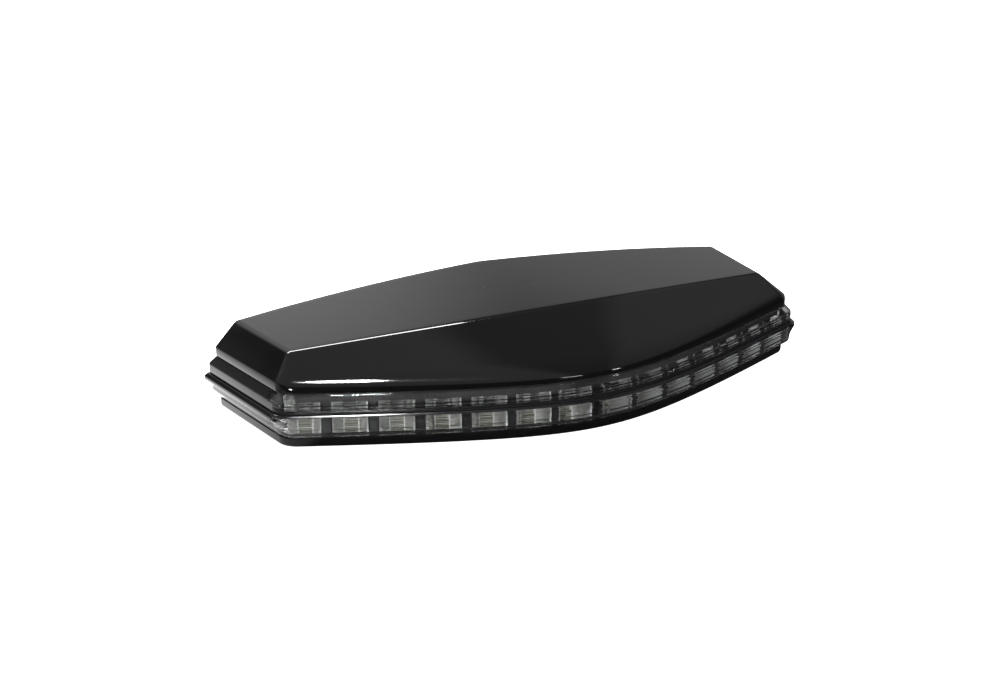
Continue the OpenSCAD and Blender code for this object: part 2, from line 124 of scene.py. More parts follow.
# A height here is the upward part of a direction: 0 at the horizon, 1 straight up.
low_wall_ends, gap_ends = (0.26, 0.46), (0.50, 0.60)
near_wall_rises, lifts_start = (0.25, 0.70), (0.45, 0.55)
back_starts, patch_edge = (-0.05, 0.25), (0.92, 0.995)
left_side, right_side = (0.32, 0.22), (0.50, 0.56)


def link(tree, a, b):
    tree.links.new(a, b)


def math_node(tree, operation, a, b=None):
    node = tree.nodes.new("ShaderNodeMath")
    node.operation = operation
    for socket, value in zip(node.inputs, (a, b)):
        if isinstance(value, (int, float)):
            socket.default_value = value
        elif value is not None:
            link(tree, value, socket)
    return node.outputs[0]


def spread_node(tree, value, low, high, to_low=0.0, to_high=1.0):
    node = tree.nodes.new("ShaderNodeMapRange")
    node.interpolation_type = "SMOOTHSTEP"
    link(tree, value, node.inputs["Value"])
    for name, number in (("From Min", low), ("From Max", high), ("To Min", to_low), ("To Max", to_high)):
        node.inputs[name].default_value = number
    return node.outputs["Result"]


world = bpy.data.worlds.new("studio")
world.use_nodes = True
scene.world = world
room = world.node_tree
room.nodes.clear()
way = room.nodes.new("ShaderNodeTexCoord").outputs["Generated"]
split = room.nodes.new("ShaderNodeSeparateXYZ")
link(room, way, split.inputs[0])
side_part, depth_part, height_part = split.outputs
back_wall = math_node(room, "ADD", spread_node(room, height_part, *low_wall_ends, low_wall, gap_wall),
                      spread_node(room, height_part, *gap_ends, 0.0, wall_grey - gap_wall))
near_wall = spread_node(room, height_part, *near_wall_rises, front_wall, wall_grey)
is_back = spread_node(room, depth_part, *back_starts)
behind_share = math_node(room, "MULTIPLY", back_wall, is_back)
front_share = math_node(room, "MULTIPLY", near_wall, math_node(room, "SUBTRACT", 1.0, is_back))
wall = math_node(room, "ADD", behind_share, front_share)
towards = room.nodes.new("ShaderNodeVectorMath")
towards.operation = "DOT_PRODUCT"
link(room, way, towards.inputs[0])
towards.inputs[1].default_value = patch_way
patch = spread_node(room, towards.outputs["Value"], *patch_edge, 0.0, patch_bright)
left_lift = spread_node(room, side_part, *left_side, 0.0, left_wall)
right_lift = spread_node(room, side_part, *right_side, 0.0, right_wall)
lifts = math_node(room, "MULTIPLY", math_node(room, "ADD", left_lift, right_lift),
                  spread_node(room, height_part, *lifts_start))
light = room.nodes.new("ShaderNodeBackground")
joined = room.nodes.new("ShaderNodeCombineColor")
total = math_node(room, "ADD", math_node(room, "ADD", wall, patch), lifts)
for channel in joined.inputs:
    link(room, total, channel)
link(room, joined.outputs[0], light.inputs["Color"])
out = room.nodes.new("ShaderNodeOutputWorld")
link(room, light.outputs[0], out.inputs["Surface"])
print("world: patch towards", [round(x, 2) for x in patch_way])

# %% Softboxes, each at a direction and a distance from the lamp


def softbox(name, way, far, wide, high, watts, shape="RECTANGLE"):
    data = bpy.data.lights.new(name, "AREA")
    data.shape = shape
    data.size, data.size_y = wide, high
    data.energy = watts
    lamp = bpy.data.objects.new(name, data)
    way = Vector(way).normalized()
    lamp.location = way * far
    lamp.rotation_euler = way.to_track_quat("Z", "Y").to_euler()
    scene.collection.objects.link(lamp)
    return lamp


softboxes = [
    softbox("key_softbox", (-0.202, -0.293, 0.934), 1.1, 0.08, 0.24, 14, "ELLIPSE"),
    softbox("rear_strip", (0.02, 0.62, 0.78), 1.1, 0.7, 0.14, 7),
    softbox("cup_light", (-0.66, -0.74, 0.13), 1.1, 0.16, 0.07, 8),
    softbox("right_spot", (0.585, -0.73, 0.34), 1.3, 0.08, 0.05, 1.5),
    softbox("middle_spot", (0.225, -0.90, 0.40), 1.3, 0.20, 0.03, 1.3),
]
print("softboxes:", [lamp.name for lamp in softboxes])

# %% [markdown]
# The table is white to the eye, but a gloss black object on white would turn grey all round its foot.
# A studio solves that with black cards laid just outside the picture. The same is done here: what the
# camera sees is a pale, lit table, and every other ray meets a dark one that is bright only in a strip
# along the lamp's left end, where the risers of that end mirror it.

# %% Table


def new_material(name):
    material = bpy.data.materials.new(name)
    material.use_nodes = True
    tree = material.node_tree
    return material, tree, tree.nodes["Principled BSDF"]


card_glow, lit_glow, far_share, foot_share = 0.06, 5.2, 0.135, 0.84
end_start, end_lean = 0.07124, 0.1756
# Distances off the left end, in metres: where the strip fades, is full, dims at the foot and stops.
strip_far, strip_full, strip_foot, strip_under, strip_stop = 0.018, 0.002, -0.001, -0.004, -0.008
strip_front, strip_back = -0.027, 0.06


def table():
    half, steps = 4.0, 24
    mesh = bpy.data.meshes.new("table")
    work = bmesh.new()
    bmesh.ops.create_grid(work, x_segments=steps, y_segments=steps, size=half)
    work.to_mesh(mesh)
    work.free()
    piece = bpy.data.objects.new("table", mesh)
    scene.collection.objects.link(piece)
    material, tree, shader = new_material("table_white")
    where = tree.nodes.new("ShaderNodeTexCoord").outputs["Object"]
    noise = tree.nodes.new("ShaderNodeTexNoise")
    noise.inputs["Scale"].default_value = 40
    link(tree, where, noise.inputs["Vector"])
    link(tree, spread_node(tree, noise.outputs["Fac"], 0.3, 0.7, 0.45, 0.55), shader.inputs["Roughness"])
    shader.inputs["Base Color"].default_value = (0.85, 0.85, 0.85, 1)
    shader.inputs["Emission Color"].default_value = (1, 1, 1, 1)
    shader.inputs["Emission Strength"].default_value = 1.1
    split = tree.nodes.new("ShaderNodeSeparateXYZ")
    link(tree, where, split.inputs[0])
    x, y = split.outputs["X"], split.outputs["Y"]
    glow = tree.nodes.new("ShaderNodeEmission")
    away = math_node(tree, "SUBTRACT", math_node(tree, "MULTIPLY", x, -1.0),
                     math_node(tree, "ADD", math_node(tree, "MULTIPLY", y, end_lean), end_start))
    strip = math_node(tree, "MULTIPLY", spread_node(tree, away, strip_far, strip_full, far_share, 1.0),
                      spread_node(tree, away, strip_foot, strip_full, foot_share, 1.0))
    strip = math_node(tree, "MULTIPLY", strip, spread_node(tree, away, strip_stop, strip_under))
    backwards = tree.nodes.new("ShaderNodeMapRange")
    link(tree, y, backwards.inputs["Value"])
    for label, number in (("From Min", strip_front), ("From Max", strip_back), ("To Max", lit_glow)):
        backwards.inputs[label].default_value = number
    lit = math_node(tree, "MULTIPLY", strip, backwards.outputs["Result"])
    link(tree, math_node(tree, "ADD", lit, card_glow), glow.inputs["Strength"])
    choose = tree.nodes.new("ShaderNodeMixShader")
    link(tree, tree.nodes.new("ShaderNodeLightPath").outputs["Is Camera Ray"], choose.inputs[0])
    link(tree, glow.outputs[0], choose.inputs[1])
    link(tree, shader.outputs[0], choose.inputs[2])
    link(tree, choose.outputs[0], tree.nodes["Material Output"].inputs["Surface"])
    mesh.materials.append(material)
    return piece


print("table:", round(table().dimensions.x, 1), "m wide")

# %% [markdown]
# ## The outline, and the outline set in
# Every shell of the lamp is the same six-cornered outline at another inset: a rounded nose (a hyperbola,
# because that is a curve that turns into straight lines), two ends that open out towards the back, short
# shoulders and a shallow back point. Setting a corner in means moving it along the bisector, and its arc
# keeps its radius, so every ring has the same number of points and any two rings can be joined.

# %% Driving sizes of the outline, in millimetres
half_len, half_depth = 75.0, 35.0
wide_y = 21.4
corner = np.array([half_len - 5.9, -12.2])
nose_soft = 25.5
corner_r, wide_r, shoulder_r, apex_r = 5.0, 1.0, 2.0, 8.0
shoulder = np.array([64.0, 27.9])
nose_cuts, corner_cuts, small_cuts = 170, 12, 6
end_cuts, shoulder_cuts, back_cuts = 12, 2, 24
nose_rise = (corner[1] + half_depth) / (math.hypot(corner[0], nose_soft) - nose_soft)


def unit(v):
    return np.asarray(v, float) / np.linalg.norm(v)


def left_of(v):
    return np.array([-v[1], v[0]])


def nose_y(x):
    return -half_depth + nose_rise * (math.hypot(x, nose_soft) - nose_soft)


def nose_slope(x):
    return nose_rise * x / math.hypot(x, nose_soft)


def nose_in(x, d):
    return np.array([x, nose_y(x)]) + d * left_of(unit([1, nose_slope(x)]))


def meet_in(corner_point, t1, t2, d):
    return corner_point + d * (left_of(t1) + left_of(t2)) / (1 + t1 @ t2)


def corner_arc(corner_point, t1, t2, r, cuts):
    bend = math.acos(min(1, t1 @ t2))
    middle = corner_point - t1 * r * math.tan(bend / 2) + r * left_of(t1)
    start = math.atan2(t1[1], t1[0])
    headings = [start + bend * k / cuts for k in range(cuts + 1)]
    return [middle + r * np.array([math.sin(h), -math.cos(h)]) for h in headings]


def inside_of(p, q, cuts):
    return [p + (q - p) * k / (cuts + 1) for k in range(1, cuts + 1)]


def mirrored(points):
    return [np.array([-p[0], p[1]]) for p in reversed(points)]


wide = np.array([half_len, wide_y])
apex = np.array([0, half_depth])
along_nose = unit([1, nose_slope(corner[0])])
along_end = unit(wide - corner)
along_shoulder = unit(shoulder - wide)
along_back = unit(apex - shoulder)
past_apex = np.array([along_back[0], -along_back[1]])


def corner_in(corner_point, t1, t2, d, r, cuts):
    """The rounded corner between two sides of the outline set in by d."""
    return corner_arc(meet_in(corner_point, t1, t2, d), t1, t2, r, cuts)


def whole_ring(nose, front, side, behind, point):
    """A ring from the points of the nose and the corners of the right half."""
    right = (front + inside_of(front[-1], side[0], end_cuts)
             + side + inside_of(side[-1], behind[0], shoulder_cuts)
             + behind + inside_of(behind[-1], point[0], back_cuts))
    return np.array(nose + right + point + mirrored(right))


def set_in(d):
    front = corner_in(corner, along_nose, along_end, d, corner_r, corner_cuts)
    side = corner_in(wide, along_end, along_shoulder, d, wide_r, small_cuts)
    behind = corner_in(shoulder, along_shoulder, along_back, d, shoulder_r, small_cuts)
    point = corner_in(apex, along_back, past_apex, d, apex_r, small_cuts)
    reach = (front[0] - d * left_of(along_nose))[0]
    nose = [nose_in(x, d) for x in np.linspace(-reach, reach, nose_cuts + 1)[1:-1]]
    return whole_ring(nose, front, side, behind, point)


ring_count = len(set_in(0))
print("points in a ring:", ring_count)

# %% How much of the nose each point of a ring has: one along it, none along the ends, a soft step between
spread = np.zeros(ring_count)
nose_count = nose_cuts - 1
spread[:nose_count] = 1
for k in range(corner_cuts + 1):
    spread[nose_count + k] = spread[-1 - k] = 0.5 + 0.5 * math.cos(math.pi * k / corner_cuts)
spread = spread[:, None]
print("points on the nose:", nose_count)

# %% Levels, read from the design
base_z = low_of("base_gasket")[2]
lens_low = low_of("lower_lens")[2]
seam_z = high_of("lower_lens")[2]
gasket_z = low_of("upper_lens")[2]
lens_high = high_of("upper_lens")[2]
joint_z = high_of("cap_seal")[2]
cap_top = high_of("top_cap")[2]
cap_in, upper_in, lower_in, base_in = 2.5, 1.05, 1.4, 2.8
rim_z, rim_thick, rim_under, lower_riser = 6.9, 0.8, 1.5, 1.1
shoulder_z, crease_z = 10.7, 14.7
lens_wall = 1.4
levels = (base_z, lens_low, seam_z, gasket_z, lens_high, joint_z, cap_top)
print("levels", [round(float(z), 2) for z in levels])

# %% [markdown]
# ## Lofting
# A moulded shell is easiest as a stack of rings: each ring is the outline at one inset and height, and
# neighbours are joined by quads. One function does this for every shell. Corners of the section are
# softened first with a short Bezier curve, because a real moulding always has a small radius there and
# that radius is what catches the light. Weighted normals keep the flat faces flat in the shading.

# %% Loft helpers
soft_cuts = 4


def softened(section, soft, cuts=soft_cuts):
    """Each corner of a closed section becomes a short curve that starts and ends soft away from it."""
    points = [np.array(p, float) for p in section]
    made = []
    for k, p in enumerate(points):
        before, after = points[k - 1] - p, points[(k + 1) % len(points)] - p
        a = p + before * min(soft / np.linalg.norm(before), 0.45)
        b = p + after * min(soft / np.linalg.norm(after), 0.45)
        for t in np.linspace(0, 1, cuts + 1):
            made.append((1 - t) ** 2 * a + 2 * t * (1 - t) * p + t ** 2 * b)
    return made


def ring_at(d, z):
    flat = set_in(d)
    return np.column_stack([flat, np.full(len(flat), z)])


def loft_faces(rings, around, wrap):
    faces = []
    for r in range(rings if wrap else rings - 1):
        a, b = r * around, ((r + 1) % rings) * around
        faces += [(a + i, a + (i + 1) % around, b + (i + 1) % around, b + i) for i in range(around)]
    return faces


def caps(count, last):
    """The two faces that close a stack of rings; the last ring's points start at last."""
    return [tuple(reversed(range(count))), tuple(last + i for i in range(count))]


def even_normals(piece):
    weigh = piece.modifiers.new("even_normals", "WEIGHTED_NORMAL")
    weigh.weight = 60
    weigh.keep_sharp = True


def sharpen(mesh, degrees, recalculated=False):
    """Edges that turn by more than the angle are sharp, the rest smooth."""
    work = bmesh.new()
    work.from_mesh(mesh)
    if recalculated:
        bmesh.ops.recalc_face_normals(work, faces=work.faces)
    for edge in work.edges:
        edge.smooth = len(edge.link_faces) == 2 and edge.calc_face_angle(0) < math.radians(degrees)
    work.to_mesh(mesh)
    work.free()


def finish_mesh(name, points, faces, material, weighted=True):
    """A mesh from points in millimetres, with smooth shading and its doubles merged."""
    mesh = bpy.data.meshes.new(name)
    mesh.from_pydata((np.asarray(points) * MM).tolist(), [], faces)
    work = bmesh.new()
    work.from_mesh(mesh)
    bmesh.ops.remove_doubles(work, verts=work.verts, dist=1e-7)
    work.to_mesh(mesh)
    work.free()
    mesh.shade_smooth()
    piece = bpy.data.objects.new(name, mesh)
    scene.collection.objects.link(piece)
    mesh.materials.append(material)
    if weighted:
        even_normals(piece)
    return piece


def band(name, section, material, nose_section=None):
    """A closed section swept round the outline; the nose can have a section of its own."""
    rings = [ring_at(d, z) for d, z in section]
    if nose_section is not None:
        rings = [a + (ring_at(d, z) - a) * spread for a, (d, z) in zip(rings, nose_section)]
    return finish_mesh(name, np.vstack(rings), loft_faces(len(rings), ring_count, True), material)


def hand_over(piece, slot, *nodes):
    """The piece rides on the one body and stands for the design's nodes, which are hidden; slot is not used.
    """
    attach(piece, "root")
    if nodes:
        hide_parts(*nodes)
    print(piece.name, len(piece.data.polygons), "faces")
    return piece


# %% [markdown]
# ## Finishes used more than once
# Several finishes share the same small faults: a fine grain from the mould, slow waves where the plastic
# shrank, and a little dust. Each is made once as a node group that puts out masks and heights only, and
# every material sets its own amounts. Object coordinates keep the pattern fixed to the piece.

# %% Group: moulded surface


def new_group(name, inputs, outputs):
    group = bpy.data.node_groups.new(name, "ShaderNodeTree")
    for label, value in inputs:
        socket = group.interface.new_socket(name=label, in_out="INPUT", socket_type="NodeSocketFloat")
        socket.default_value = value
    for label in outputs:
        group.interface.new_socket(name=label, in_out="OUTPUT", socket_type="NodeSocketFloat")
    return group, group.nodes.new("NodeGroupInput").outputs, group.nodes.new("NodeGroupOutput").inputs


def noise_node(tree, scale, detail=2.0, rough=0.5):
    node = tree.nodes.new("ShaderNodeTexNoise")
    link(tree, tree.nodes.new("ShaderNodeTexCoord").outputs["Object"], node.inputs["Vector"])
    if isinstance(scale, (int, float)):
        node.inputs["Scale"].default_value = scale
    else:
        link(tree, scale, node.inputs["Scale"])
    node.inputs["Detail"].default_value = detail
    node.inputs["Roughness"].default_value = rough
    return node.outputs["Fac"]


def moulded_group():
    group, given, put = new_group("moulded_surface", [("Wave size", 90.0), ("Grain size", 2500.0),
                                  ("Grain share", 0.3)], ["Height", "Patchiness"])
    wave = noise_node(group, given["Wave size"], 1.0)
    grain = noise_node(group, given["Grain size"], 3.0)
    link(group, math_node(group, "ADD", wave, math_node(group, "MULTIPLY", grain, given["Grain share"])),
         put["Height"])
    patches = noise_node(group, given["Wave size"], 4.0, 0.6)
    link(group, spread_node(group, patches, 0.3, 0.7), put["Patchiness"])
    return group


moulded = moulded_group()

# %% Group: dust and hairline scratches


def dust_group():
    group, given, put = new_group("dust_and_scratches", [("Speck size", 900.0), ("Amount", 0.5)],
                                  ["Dust", "Scratches"])
    specks = group.nodes.new("ShaderNodeTexVoronoi")
    where = group.nodes.new("ShaderNodeTexCoord").outputs["Object"]
    link(group, where, specks.inputs["Vector"])
    link(group, given["Speck size"], specks.inputs["Scale"])
    dots = spread_node(group, specks.outputs["Distance"], 0.12, 0.05)
    rare = spread_node(group, noise_node(group, 160.0, 3.0), 0.5, 0.72)
    link(group, math_node(group, "MULTIPLY", math_node(group, "MULTIPLY", dots, rare), given["Amount"]),
         put["Dust"])
    stretch = group.nodes.new("ShaderNodeMapping")
    stretch.inputs["Scale"].default_value = (60, 2600, 900)
    stretch.inputs["Rotation"].default_value = (0.1, 0.05, 0.35)
    link(group, where, stretch.inputs["Vector"])
    lines = group.nodes.new("ShaderNodeTexNoise")
    link(group, stretch.outputs[0], lines.inputs["Vector"])
    lines.inputs["Scale"].default_value = 1.0
    thin = spread_node(group, lines.outputs["Fac"], 0.68, 0.74)
    link(group, math_node(group, "MULTIPLY", thin, given["Amount"]), put["Scratches"])
    return group


dusty = dust_group()

# %% Group: edges that handling has brightened


def edge_group():
    group, given, put = new_group("worn_edges", [("Sharpness", 0.52), ("Amount", 0.5)], ["Wear"])
    shape = group.nodes.new("ShaderNodeNewGeometry")
    raised = math_node(group, "SUBTRACT", shape.outputs["Pointiness"], given["Sharpness"])
    edge = spread_node(group, raised, 0.0, 0.06)
    broken = spread_node(group, noise_node(group, 700.0, 4.0), 0.4, 0.65)
    link(group, math_node(group, "MULTIPLY", math_node(group, "MULTIPLY", edge, broken), given["Amount"]),
         put["Wear"])
    return group


edges = edge_group()


def use_group(tree, group, **values):
    node = tree.nodes.new("ShaderNodeGroup")
    node.node_tree = group
    for label, value in values.items():
        node.inputs[label.replace("_", " ")].default_value = value
    return node.outputs


def mix_colour(tree, factor, a, b):
    node = tree.nodes.new("ShaderNodeMix")
    node.data_type = "RGBA"
    link(tree, factor, node.inputs["Factor"])
    node.inputs["A"].default_value = (*a, 1)
    node.inputs["B"].default_value = (*b, 1)
    return node.outputs["Result"]


def bump_node(tree, height, strength, deep):
    node = tree.nodes.new("ShaderNodeBump")
    node.inputs["Strength"].default_value = strength
    node.inputs["Distance"].default_value = deep
    link(tree, height, node.inputs["Height"])
    return node.outputs["Normal"]


print("finish groups:", [g.name for g in bpy.data.node_groups])

# %% [markdown]
# ## Moulded plastics and rubber
# Cap, base, mask, chips and seals are all injection moulded, and differ in gloss, grain and colour. One
# function makes them all, and each call is one finish. The cap is polished ABS, so its grain is nearly
# nothing and its waves are slow; the base is spark-eroded, which is a fine, even bump.

# %% Plastic finishes


def plastic(name, dark, pale, rough, rough_spread, grain=0.3, bump=0.1, deep=2e-5, dust=0.3, wear=0.0,
            wave=90.0, ior=1.5):
    material, tree, shader = new_material(name)
    surface = use_group(tree, moulded, Wave_size=wave, Grain_share=grain)
    specks = use_group(tree, dusty, Amount=dust)
    worn = use_group(tree, edges, Amount=wear)
    marks = math_node(tree, "MAXIMUM", specks["Dust"], worn["Wear"])
    link(tree, mix_colour(tree, marks, dark, pale), shader.inputs["Base Color"])
    rougher = spread_node(tree, surface["Patchiness"], 0.0, 1.0, rough, rough + rough_spread)
    scratched = math_node(tree, "MULTIPLY", specks["Scratches"], 0.12)
    dusted = math_node(tree, "MULTIPLY", specks["Dust"], 0.4)
    link(tree, math_node(tree, "ADD", rougher, math_node(tree, "ADD", scratched, dusted)),
         shader.inputs["Roughness"])
    link(tree, bump_node(tree, surface["Height"], bump, deep), shader.inputs["Normal"])
    shader.inputs["IOR"].default_value = ior
    return material


cap_black = plastic("cap_gloss_black", (0.0022, 0.0022, 0.0026), (0.08, 0.08, 0.08), 0.05, 0.04, grain=0.02,
                    bump=0.03, dust=0.25, wear=0.05, wave=60.0)
base_black = plastic("base_black", (0.003, 0.003, 0.0035), (0.04, 0.04, 0.04), 0.12, 0.08, grain=1.2,
                     bump=0.06, dust=0.15, wear=0.05, ior=1.4)
mask_black = plastic("mask_black", (0.004, 0.004, 0.004), (0.03, 0.03, 0.03), 0.35, 0.12, grain=1.0,
                     bump=0.1, dust=0.1)
lens_black = plastic("lens_gloss_black", (0.004, 0.004, 0.0045), (0.08, 0.08, 0.08), 0.08, 0.05, grain=0.02,
                     bump=0.03, dust=0.2)
seal_rubber = plastic("seal_rubber", (0.006, 0.006, 0.006), (0.04, 0.04, 0.04), 0.6, 0.2, grain=1.5,
                      bump=0.2, dust=0.3)
chip_black = plastic("chip_black", (0.02, 0.02, 0.021), (0.10, 0.10, 0.10), 0.5, 0.15, grain=2.0,
                     bump=0.25, dust=0.3, wear=0.3)
ivory = plastic("connector_ivory", (0.72, 0.69, 0.58), (0.85, 0.83, 0.75), 0.4, 0.15, grain=0.8, dust=0.2)
terminal = plastic("terminal_green", (0.03, 0.17, 0.06), (0.15, 0.35, 0.2), 0.38, 0.12, grain=0.8, dust=0.2,
                   wear=0.3)
print("plastics:", [m.name for m in (cap_black, base_black, mask_black, lens_black, seal_rubber, chip_black,
                                     ivory, terminal)])

# %% [markdown]
# ## Smoked lens
# The lens is clear polycarbonate with a grey tint. Light has to reach the cups through it, and Cycles
# sends no light straight through glass, so rays that only carry shadow pass a Transparent shader
# instead. The Light Path node that chooses between the two stays in the material itself.

# %% Clear finishes


def clear(name, tint, shadow_tint, rough, ior, wave_bump):
    material, tree, shader = new_material(name)
    surface = use_group(tree, moulded, Wave_size=140.0, Grain_share=0.0)
    specks = use_group(tree, dusty, Amount=0.3)
    shader.inputs["Transmission Weight"].default_value = 1.0
    shader.inputs["IOR"].default_value = ior
    link(tree, mix_colour(tree, surface["Patchiness"], tint, tuple(0.97 * t for t in tint)),
         shader.inputs["Base Color"])
    hazy = math_node(tree, "MULTIPLY", specks["Dust"], 0.3)
    link(tree, math_node(tree, "ADD", math_node(tree, "MULTIPLY", surface["Patchiness"], rough), hazy),
         shader.inputs["Roughness"])
    link(tree, bump_node(tree, surface["Height"], wave_bump, 4e-5), shader.inputs["Normal"])
    passing = tree.nodes.new("ShaderNodeBsdfTransparent")
    passing.inputs["Color"].default_value = (*shadow_tint, 1)
    choose = tree.nodes.new("ShaderNodeMixShader")
    link(tree, tree.nodes.new("ShaderNodeLightPath").outputs["Is Shadow Ray"], choose.inputs[0])
    link(tree, shader.outputs[0], choose.inputs[1])
    link(tree, passing.outputs[0], choose.inputs[2])
    link(tree, choose.outputs[0], tree.nodes["Material Output"].inputs["Surface"])
    return material


smoked = clear("smoked_lens", (0.90, 0.905, 0.91), (0.74, 0.75, 0.76), 0.02, 1.49, 0.05)
optic_clear = clear("clear_optic", (0.97, 0.975, 0.98), (0.9, 0.9, 0.9), 0.02, 1.49, 0.05)
print("clear finishes:", smoked.name, optic_clear.name)

# %% [markdown]
# ## Metals
# Vacuum-metallised cups are mirrors on their floors and satin on their ribbed walls; bare sheet has
# rolling lines; screws are zinc plated and inserts are brass. All are metallic with a stretched noise
# for the direction they were worked in, so one function with a stretch vector serves them all.

# %% Metal finishes


def metal(name, base, second, rough, rough_spread, stretch=(60, 60, 60), bump=0.08, wear=0.2):
    material, tree, shader = new_material(name)
    shader.inputs["Metallic"].default_value = 1.0
    mapping = tree.nodes.new("ShaderNodeMapping")
    mapping.inputs["Scale"].default_value = stretch
    link(tree, tree.nodes.new("ShaderNodeTexCoord").outputs["Object"], mapping.inputs["Vector"])
    lines = tree.nodes.new("ShaderNodeTexNoise")
    lines.inputs["Scale"].default_value = 10
    lines.inputs["Detail"].default_value = 4
    link(tree, mapping.outputs[0], lines.inputs["Vector"])
    worn = use_group(tree, edges, Amount=wear)
    mask = math_node(tree, "MAXIMUM", spread_node(tree, lines.outputs["Fac"], 0.35, 0.7), worn["Wear"])
    link(tree, mix_colour(tree, mask, base, second), shader.inputs["Base Color"])
    link(tree, spread_node(tree, lines.outputs["Fac"], 0.3, 0.7, rough, rough + rough_spread),
         shader.inputs["Roughness"])
    link(tree, bump_node(tree, lines.outputs["Fac"], bump, 2e-5), shader.inputs["Normal"])
    return material


cup_lines = (40, 40, 160)
silvered = metal("reflector_silver", (0.90, 0.90, 0.88), (0.80, 0.80, 0.78), 0.08, 0.08, cup_lines, 0.1)
satin_silver = metal("reflector_satin", (0.93, 0.93, 0.92), (0.84, 0.84, 0.83), 0.36, 0.14, cup_lines, 0.1)
sheet = metal("bracket_aluminium", (0.72, 0.73, 0.75), (0.6, 0.61, 0.63), 0.3, 0.2, (12, 90, 300), 0.15)
can = metal("can_aluminium", (0.75, 0.76, 0.78), (0.66, 0.67, 0.69), 0.25, 0.15, (90, 90, 30), 0.1)
steel = metal("screw_steel", (0.56, 0.56, 0.57), (0.72, 0.73, 0.74), 0.25, 0.2, (120, 120, 120), 0.12, 0.5)
brass = metal("insert_brass", (0.72, 0.54, 0.22), (0.85, 0.7, 0.36), 0.22, 0.2, (100, 100, 400), 0.12, 0.5)
print("metals:", [m.name for m in (silvered, satin_silver, sheet, can, steel, brass)])

# %% [markdown]
# ## Boards, film and LEDs
# A circuit board is a lacquer over copper: the tracks show as slightly raised, paler lines, which a
# brick pattern gives in a believable rectangular layout. The LEDs are white packages around a phosphor
# that is dull olive yellow while the lamp is off.

# %% Board and LED finishes


def lacquered(name, mask_colour, track_colour, scale, rough=0.28):
    material, tree, shader = new_material(name)
    tracks = tree.nodes.new("ShaderNodeTexBrick")
    tracks.inputs["Scale"].default_value = scale
    tracks.inputs["Mortar Size"].default_value = 0.035
    tracks.inputs["Brick Width"].default_value = 0.9
    tracks.inputs["Row Height"].default_value = 0.35
    link(tree, tree.nodes.new("ShaderNodeTexCoord").outputs["Object"], tracks.inputs["Vector"])
    surface = use_group(tree, moulded, Wave_size=200.0, Grain_share=0.4)
    link(tree, mix_colour(tree, tracks.outputs["Fac"], mask_colour, track_colour),
         shader.inputs["Base Color"])
    link(tree, spread_node(tree, surface["Patchiness"], 0.0, 1.0, rough, rough + 0.15),
         shader.inputs["Roughness"])
    ripple = math_node(tree, "MULTIPLY", surface["Height"], 0.3)
    height = math_node(tree, "ADD", tracks.outputs["Fac"], ripple)
    link(tree, bump_node(tree, height, 0.4, 3e-5), shader.inputs["Normal"])
    return material


board_green = lacquered("board_green", (0.015, 0.12, 0.035), (0.04, 0.24, 0.08), 160)
flex_green = lacquered("flex_board", (0.10, 0.11, 0.06), (0.2, 0.2, 0.12), 220)
amber = lacquered("ribbon_amber", (0.42, 0.18, 0.03), (0.62, 0.33, 0.08), 300, 0.2)
package_white = plastic("led_package", (0.72, 0.72, 0.69), (0.8, 0.8, 0.78), 0.3, 0.1, grain=0.6, dust=0.1)
phosphor = plastic("led_phosphor", (0.15, 0.149, 0.118), (0.24, 0.235, 0.19), 0.22, 0.1, grain=1.0,
                   bump=0.15, dust=0.1)
print("boards and LEDs:", [m.name for m in (board_green, flex_green, amber, package_white, phosphor)])

# %% [markdown]
# ## Lens band
# Two lenses step out to a rim and in again. Their walls are lofted from closed sections, so each is one
# sealed moulding with an inner and an outer face, which is what makes glass bend light properly. They
# are moulded in two shots: clear along the nose, and black along the ends, the back and the weld line
# at the seam, which is simply a second material on those faces. Half-round flutes run along the inside
# of the clear part: each is a small lens that spreads the light up and down.

# %% Upper and lower lens
rim_top = rim_z + rim_thick
seam_in = upper_in * (seam_z - rim_top) / (gasket_z - rim_top)
step_z = rim_z - rim_under
clear_wall = 1.0
flute_deep, flute_cuts = 0.14, 6
upper_section = [[upper_in, gasket_z], [upper_in, shoulder_z], [cap_in, lens_high],
                 [cap_in + clear_wall + 0.3, lens_high], [upper_in + clear_wall, shoulder_z - 0.4],
                 [upper_in + clear_wall, gasket_z]]
lower_inside = [[seam_in, seam_z], [seam_in + clear_wall, seam_z], [base_in + clear_wall, lens_low]]
lower_ends = [[base_in, lens_low], [lower_in, step_z - lower_riser], [lower_in, step_z], [0, rim_z],
              [0, rim_top]] + lower_inside
lower_nose = [[base_in, lens_low], [1.0, 3.4], [0.7, step_z], [0.25, rim_z], [0.2, rim_top]] + lower_inside


def fluted(section, soft, inset, low, high, count):
    """The softened section with half-round flutes down the face between its last two corners."""
    made = softened(section, soft)
    before, last_corner = made[:-soft_cuts - 1], made[-soft_cuts - 1:]
    steps = flute_cuts * count
    flutes = [np.array([inset + flute_deep * abs(math.sin(math.pi * k / flute_cuts)),
                        high + (low - high) * k / steps]) for k in range(steps + 1)]
    return before + flutes + last_corner


upper_loop = fluted(upper_section, 0.22, upper_in + clear_wall, gasket_z + 0.2, shoulder_z - 0.6, 2)
ends_loop = fluted(lower_ends, 0.2, lower_in + clear_wall + 0.1, 4.7, seam_z - 0.3, 4)
nose_loop = fluted(lower_nose, 0.2, clear_wall + 0.8, 3.9, seam_z - 0.3, 4)
window_past_corner, weld_high = 6.0, 0.4


def two_shot(piece):
    """Faces along the ends and the back are the black shot, and so is the weld line round the seam."""
    piece.data.materials.append(lens_black)
    edge_y = corner[1] + window_past_corner
    for face in piece.data.polygons:
        x, y, z = face.center / MM
        face.material_index = int(y > edge_y or seam_z - weld_high < z < gasket_z + weld_high)
    return piece


